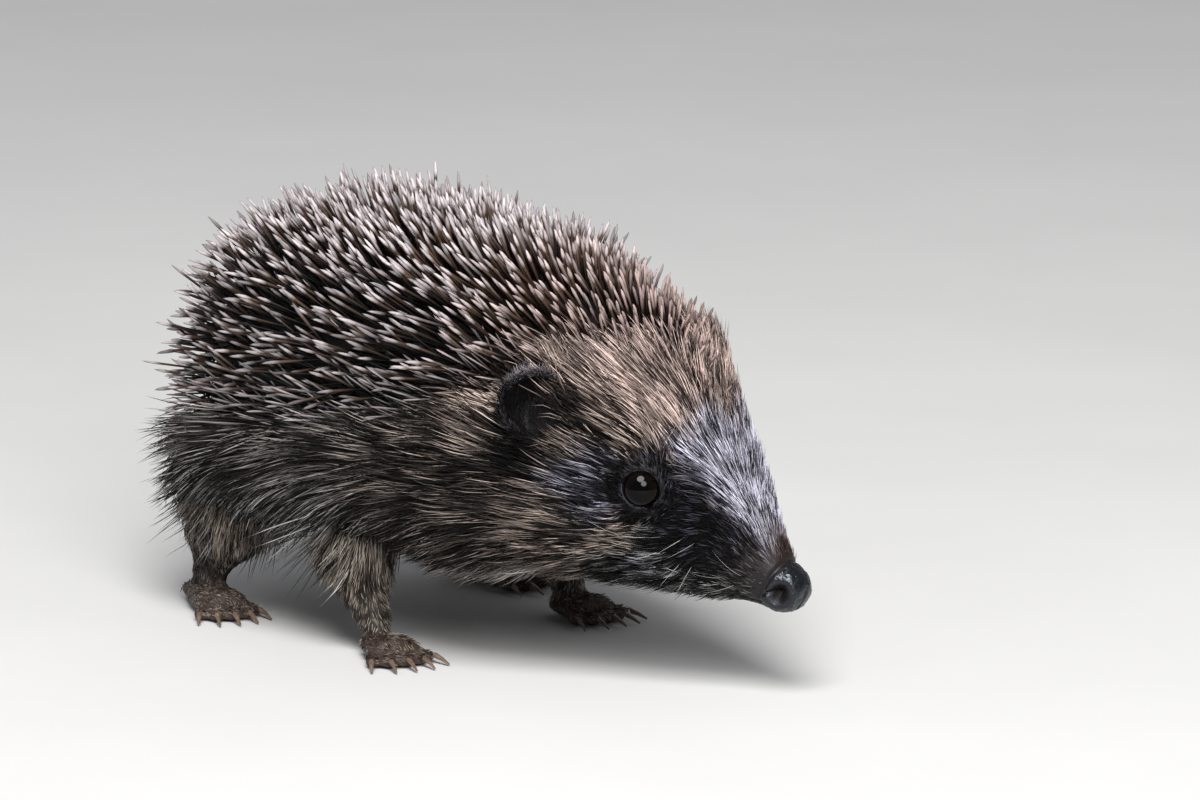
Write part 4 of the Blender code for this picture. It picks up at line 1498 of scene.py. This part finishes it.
def wet_eye():
    """The eye under its tear film: a black pupil, and an iris so dark that it hardly shows."""
    material, tree, shader = new_material("wet_eye")
    facing = add_node(tree, "ShaderNodeAttribute", {"attribute_name": "facing"})
    ramp = add_node(tree, "ShaderNodeValToRGB", Fac=facing.outputs["Fac"])
    stops = ramp.color_ramp.elements
    stops[0].position, stops[0].color = 0.30, (*linear("070505"), 1)
    stops[1].position, stops[1].color = 0.90, (*linear("010101"), 1)
    iris = stops.new(0.62)
    iris.color = (*linear("080403"), 1)
    tone, noise, _ = mottled(tree, ramp.outputs["Color"], 0.35 * MM, 0.7, 1.3)
    finish(tree, shader, tone, (noise, 0.015, 0.03), noise, 0.002 * MM)
    shader.inputs["IOR"].default_value = 1.376
    shader.inputs["Specular IOR Level"].default_value = 0.2
    return material


def claw_horn():
    """Claw horn: grown in thin layers, so faintly streaked, translucent brown, worn and satin."""
    material, tree, shader = new_material("claw_horn")
    horn = add_node(tree, "ShaderNodeRGB")
    horn.outputs[0].default_value = (*linear("6a584b"), 1)
    tone, noise, place = mottled(tree, horn.outputs[0], 1.4 * MM, 0.6, 1.35)
    streaks = add_node(tree, "ShaderNodeTexNoise", Vector=place, Scale=1 / (0.3 * MM), Detail=3)
    finish(tree, shader, tone, (noise, 0.34, 0.52), streaks.outputs[0], 0.03 * MM)
    shader.inputs["Subsurface Weight"].default_value = 0.1
    shader.inputs["Subsurface Radius"].default_value = (0.0008, 0.0005, 0.0003)
    return material


def pale_floor():
    """Painted studio floor: matt, with the faintest unevenness."""
    material, tree, shader = new_material("pale_floor")
    paint = add_node(tree, "ShaderNodeRGB")
    paint.outputs[0].default_value = (*linear("d3d2d0"), 1)
    tone, noise, place = mottled(tree, paint.outputs[0], 90 * MM, 0.985, 1.015)
    grit = add_node(tree, "ShaderNodeTexNoise", Vector=place, Scale=1 / (0.8 * MM), Detail=2)
    finish(tree, shader, tone, (noise, 0.74, 0.86), grit.outputs[0], 0.03 * MM)
    return material


# Studio ------------------------------------------------------------------------------------

# The camera: how far round from the front, how high, how far off, its lens and its sensor.
VIEW_ROUND, VIEW_UP = math.radians(-34), math.radians(11)
VIEW_DISTANCE = 1250 * MM
VIEW_LENS, VIEW_SENSOR = 247.5, 36
# Where the right eye is seen, from the middle of the view.
EYE_RIGHT_OF_MIDDLE, EYE_UNDER_MIDDLE = 6.36 * MM, 13.18 * MM


def aim(obj, at, target):
    """Puts a light or a camera at a place and points it at another."""
    obj.location = at
    obj.rotation_euler = (Vector(target) - Vector(at)).to_track_quat("-Z", "Y").to_euler()


def make_camera():
    """A long lens from the front of the right side, with the right eye in its own place."""
    back = np.array(
        (
            math.sin(VIEW_ROUND) * math.cos(VIEW_UP),
            -math.cos(VIEW_ROUND) * math.cos(VIEW_UP),
            math.sin(VIEW_UP),
        )
    )
    right = np.array((math.cos(VIEW_ROUND), math.sin(VIEW_ROUND), 0))
    up = np.cross(back, right)
    target = middle_of("eye_right") - right * EYE_RIGHT_OF_MIDDLE + up * EYE_UNDER_MIDDLE
    camera = new_object("camera", bpy.data.cameras.new("camera"))
    camera.data.lens, camera.data.sensor_width = VIEW_LENS, VIEW_SENSOR
    camera.data.clip_start = 0.01
    aim(camera, target + back * VIEW_DISTANCE, target)
    bpy.context.scene.camera = camera


def area_light(name, at, target, size, watts):
    light = new_object(name, bpy.data.lights.new(name, "AREA"))
    light.data.shape, light.data.size, light.data.energy = "DISK", size, watts
    aim(light, at, target)


def make_studio():
    """A floor, a large soft light over the animal's right side and a smaller one low in front."""
    deselect_all()
    bpy.ops.mesh.primitive_plane_add(size=6)
    floor = bpy.context.view_layer.objects.active
    floor.name = "floor"
    floor.data.materials.append(pale_floor())
    area_light("sky_panel", (-0.52, -0.68, 1.06), (0, 0, 0.03), size=0.66, watts=21)
    area_light("eye_light", (-0.42, -1.06, 0.66), (0, -0.04, 0.03), size=0.5, watts=10)
    world = bpy.data.worlds.new("studio")
    bpy.context.scene.world = world
    world.use_nodes = True
    glow = world.node_tree.nodes["Background"].inputs
    glow["Color"].default_value = (0.93, 0.95, 1.0, 1)
    glow["Strength"].default_value = 0.325
    bpy.context.scene.view_settings.view_transform = "Standard"


# Assembly ----------------------------------------------------------------------------------


def dress(obj, material):
    """Gives a piece its material, and makes it ride on the body."""
    obj.data.materials.clear()
    obj.data.materials.append(material)
    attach(obj, "root")


skin = make_skin()
ground = survey(skin)
colour_skin(skin, ground)
dress(skin, bare_hide())
skin.data.materials.append(wet_nose_leather())
nostril = nostril_share(ground["back"], ground["left"], ground["up"])
on_nose = (ground["back"] < NOSE_PAD_BACK) & (nostril < 0.4)
for polygon in skin.data.polygons:
    polygon.material_index = int(all(on_nose[i] for i in polygon.vertices))
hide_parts(*flesh_nodes())

eye_finish = wet_eye()
for node in EYES:
    eye = make_eye(node)
    dress(eye, eye_finish)
    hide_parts(node)

claw_finish = claw_horn()
for name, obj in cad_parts.items():
    if "claw" in name:
        obj.data.materials.clear()
        obj.data.materials.append(claw_finish)

spine_finish = spine_keratin()
for side, here in (("left", ground["left"] > 0), ("right", ground["left"] <= 0)):
    dress(make_spines(ground, "spines_" + side, here, 51), spine_finish)

hair_finish = hair_keratin()
for piece in make_all_fur(ground):
    dress(piece, hair_finish)

make_studio()
make_camera()
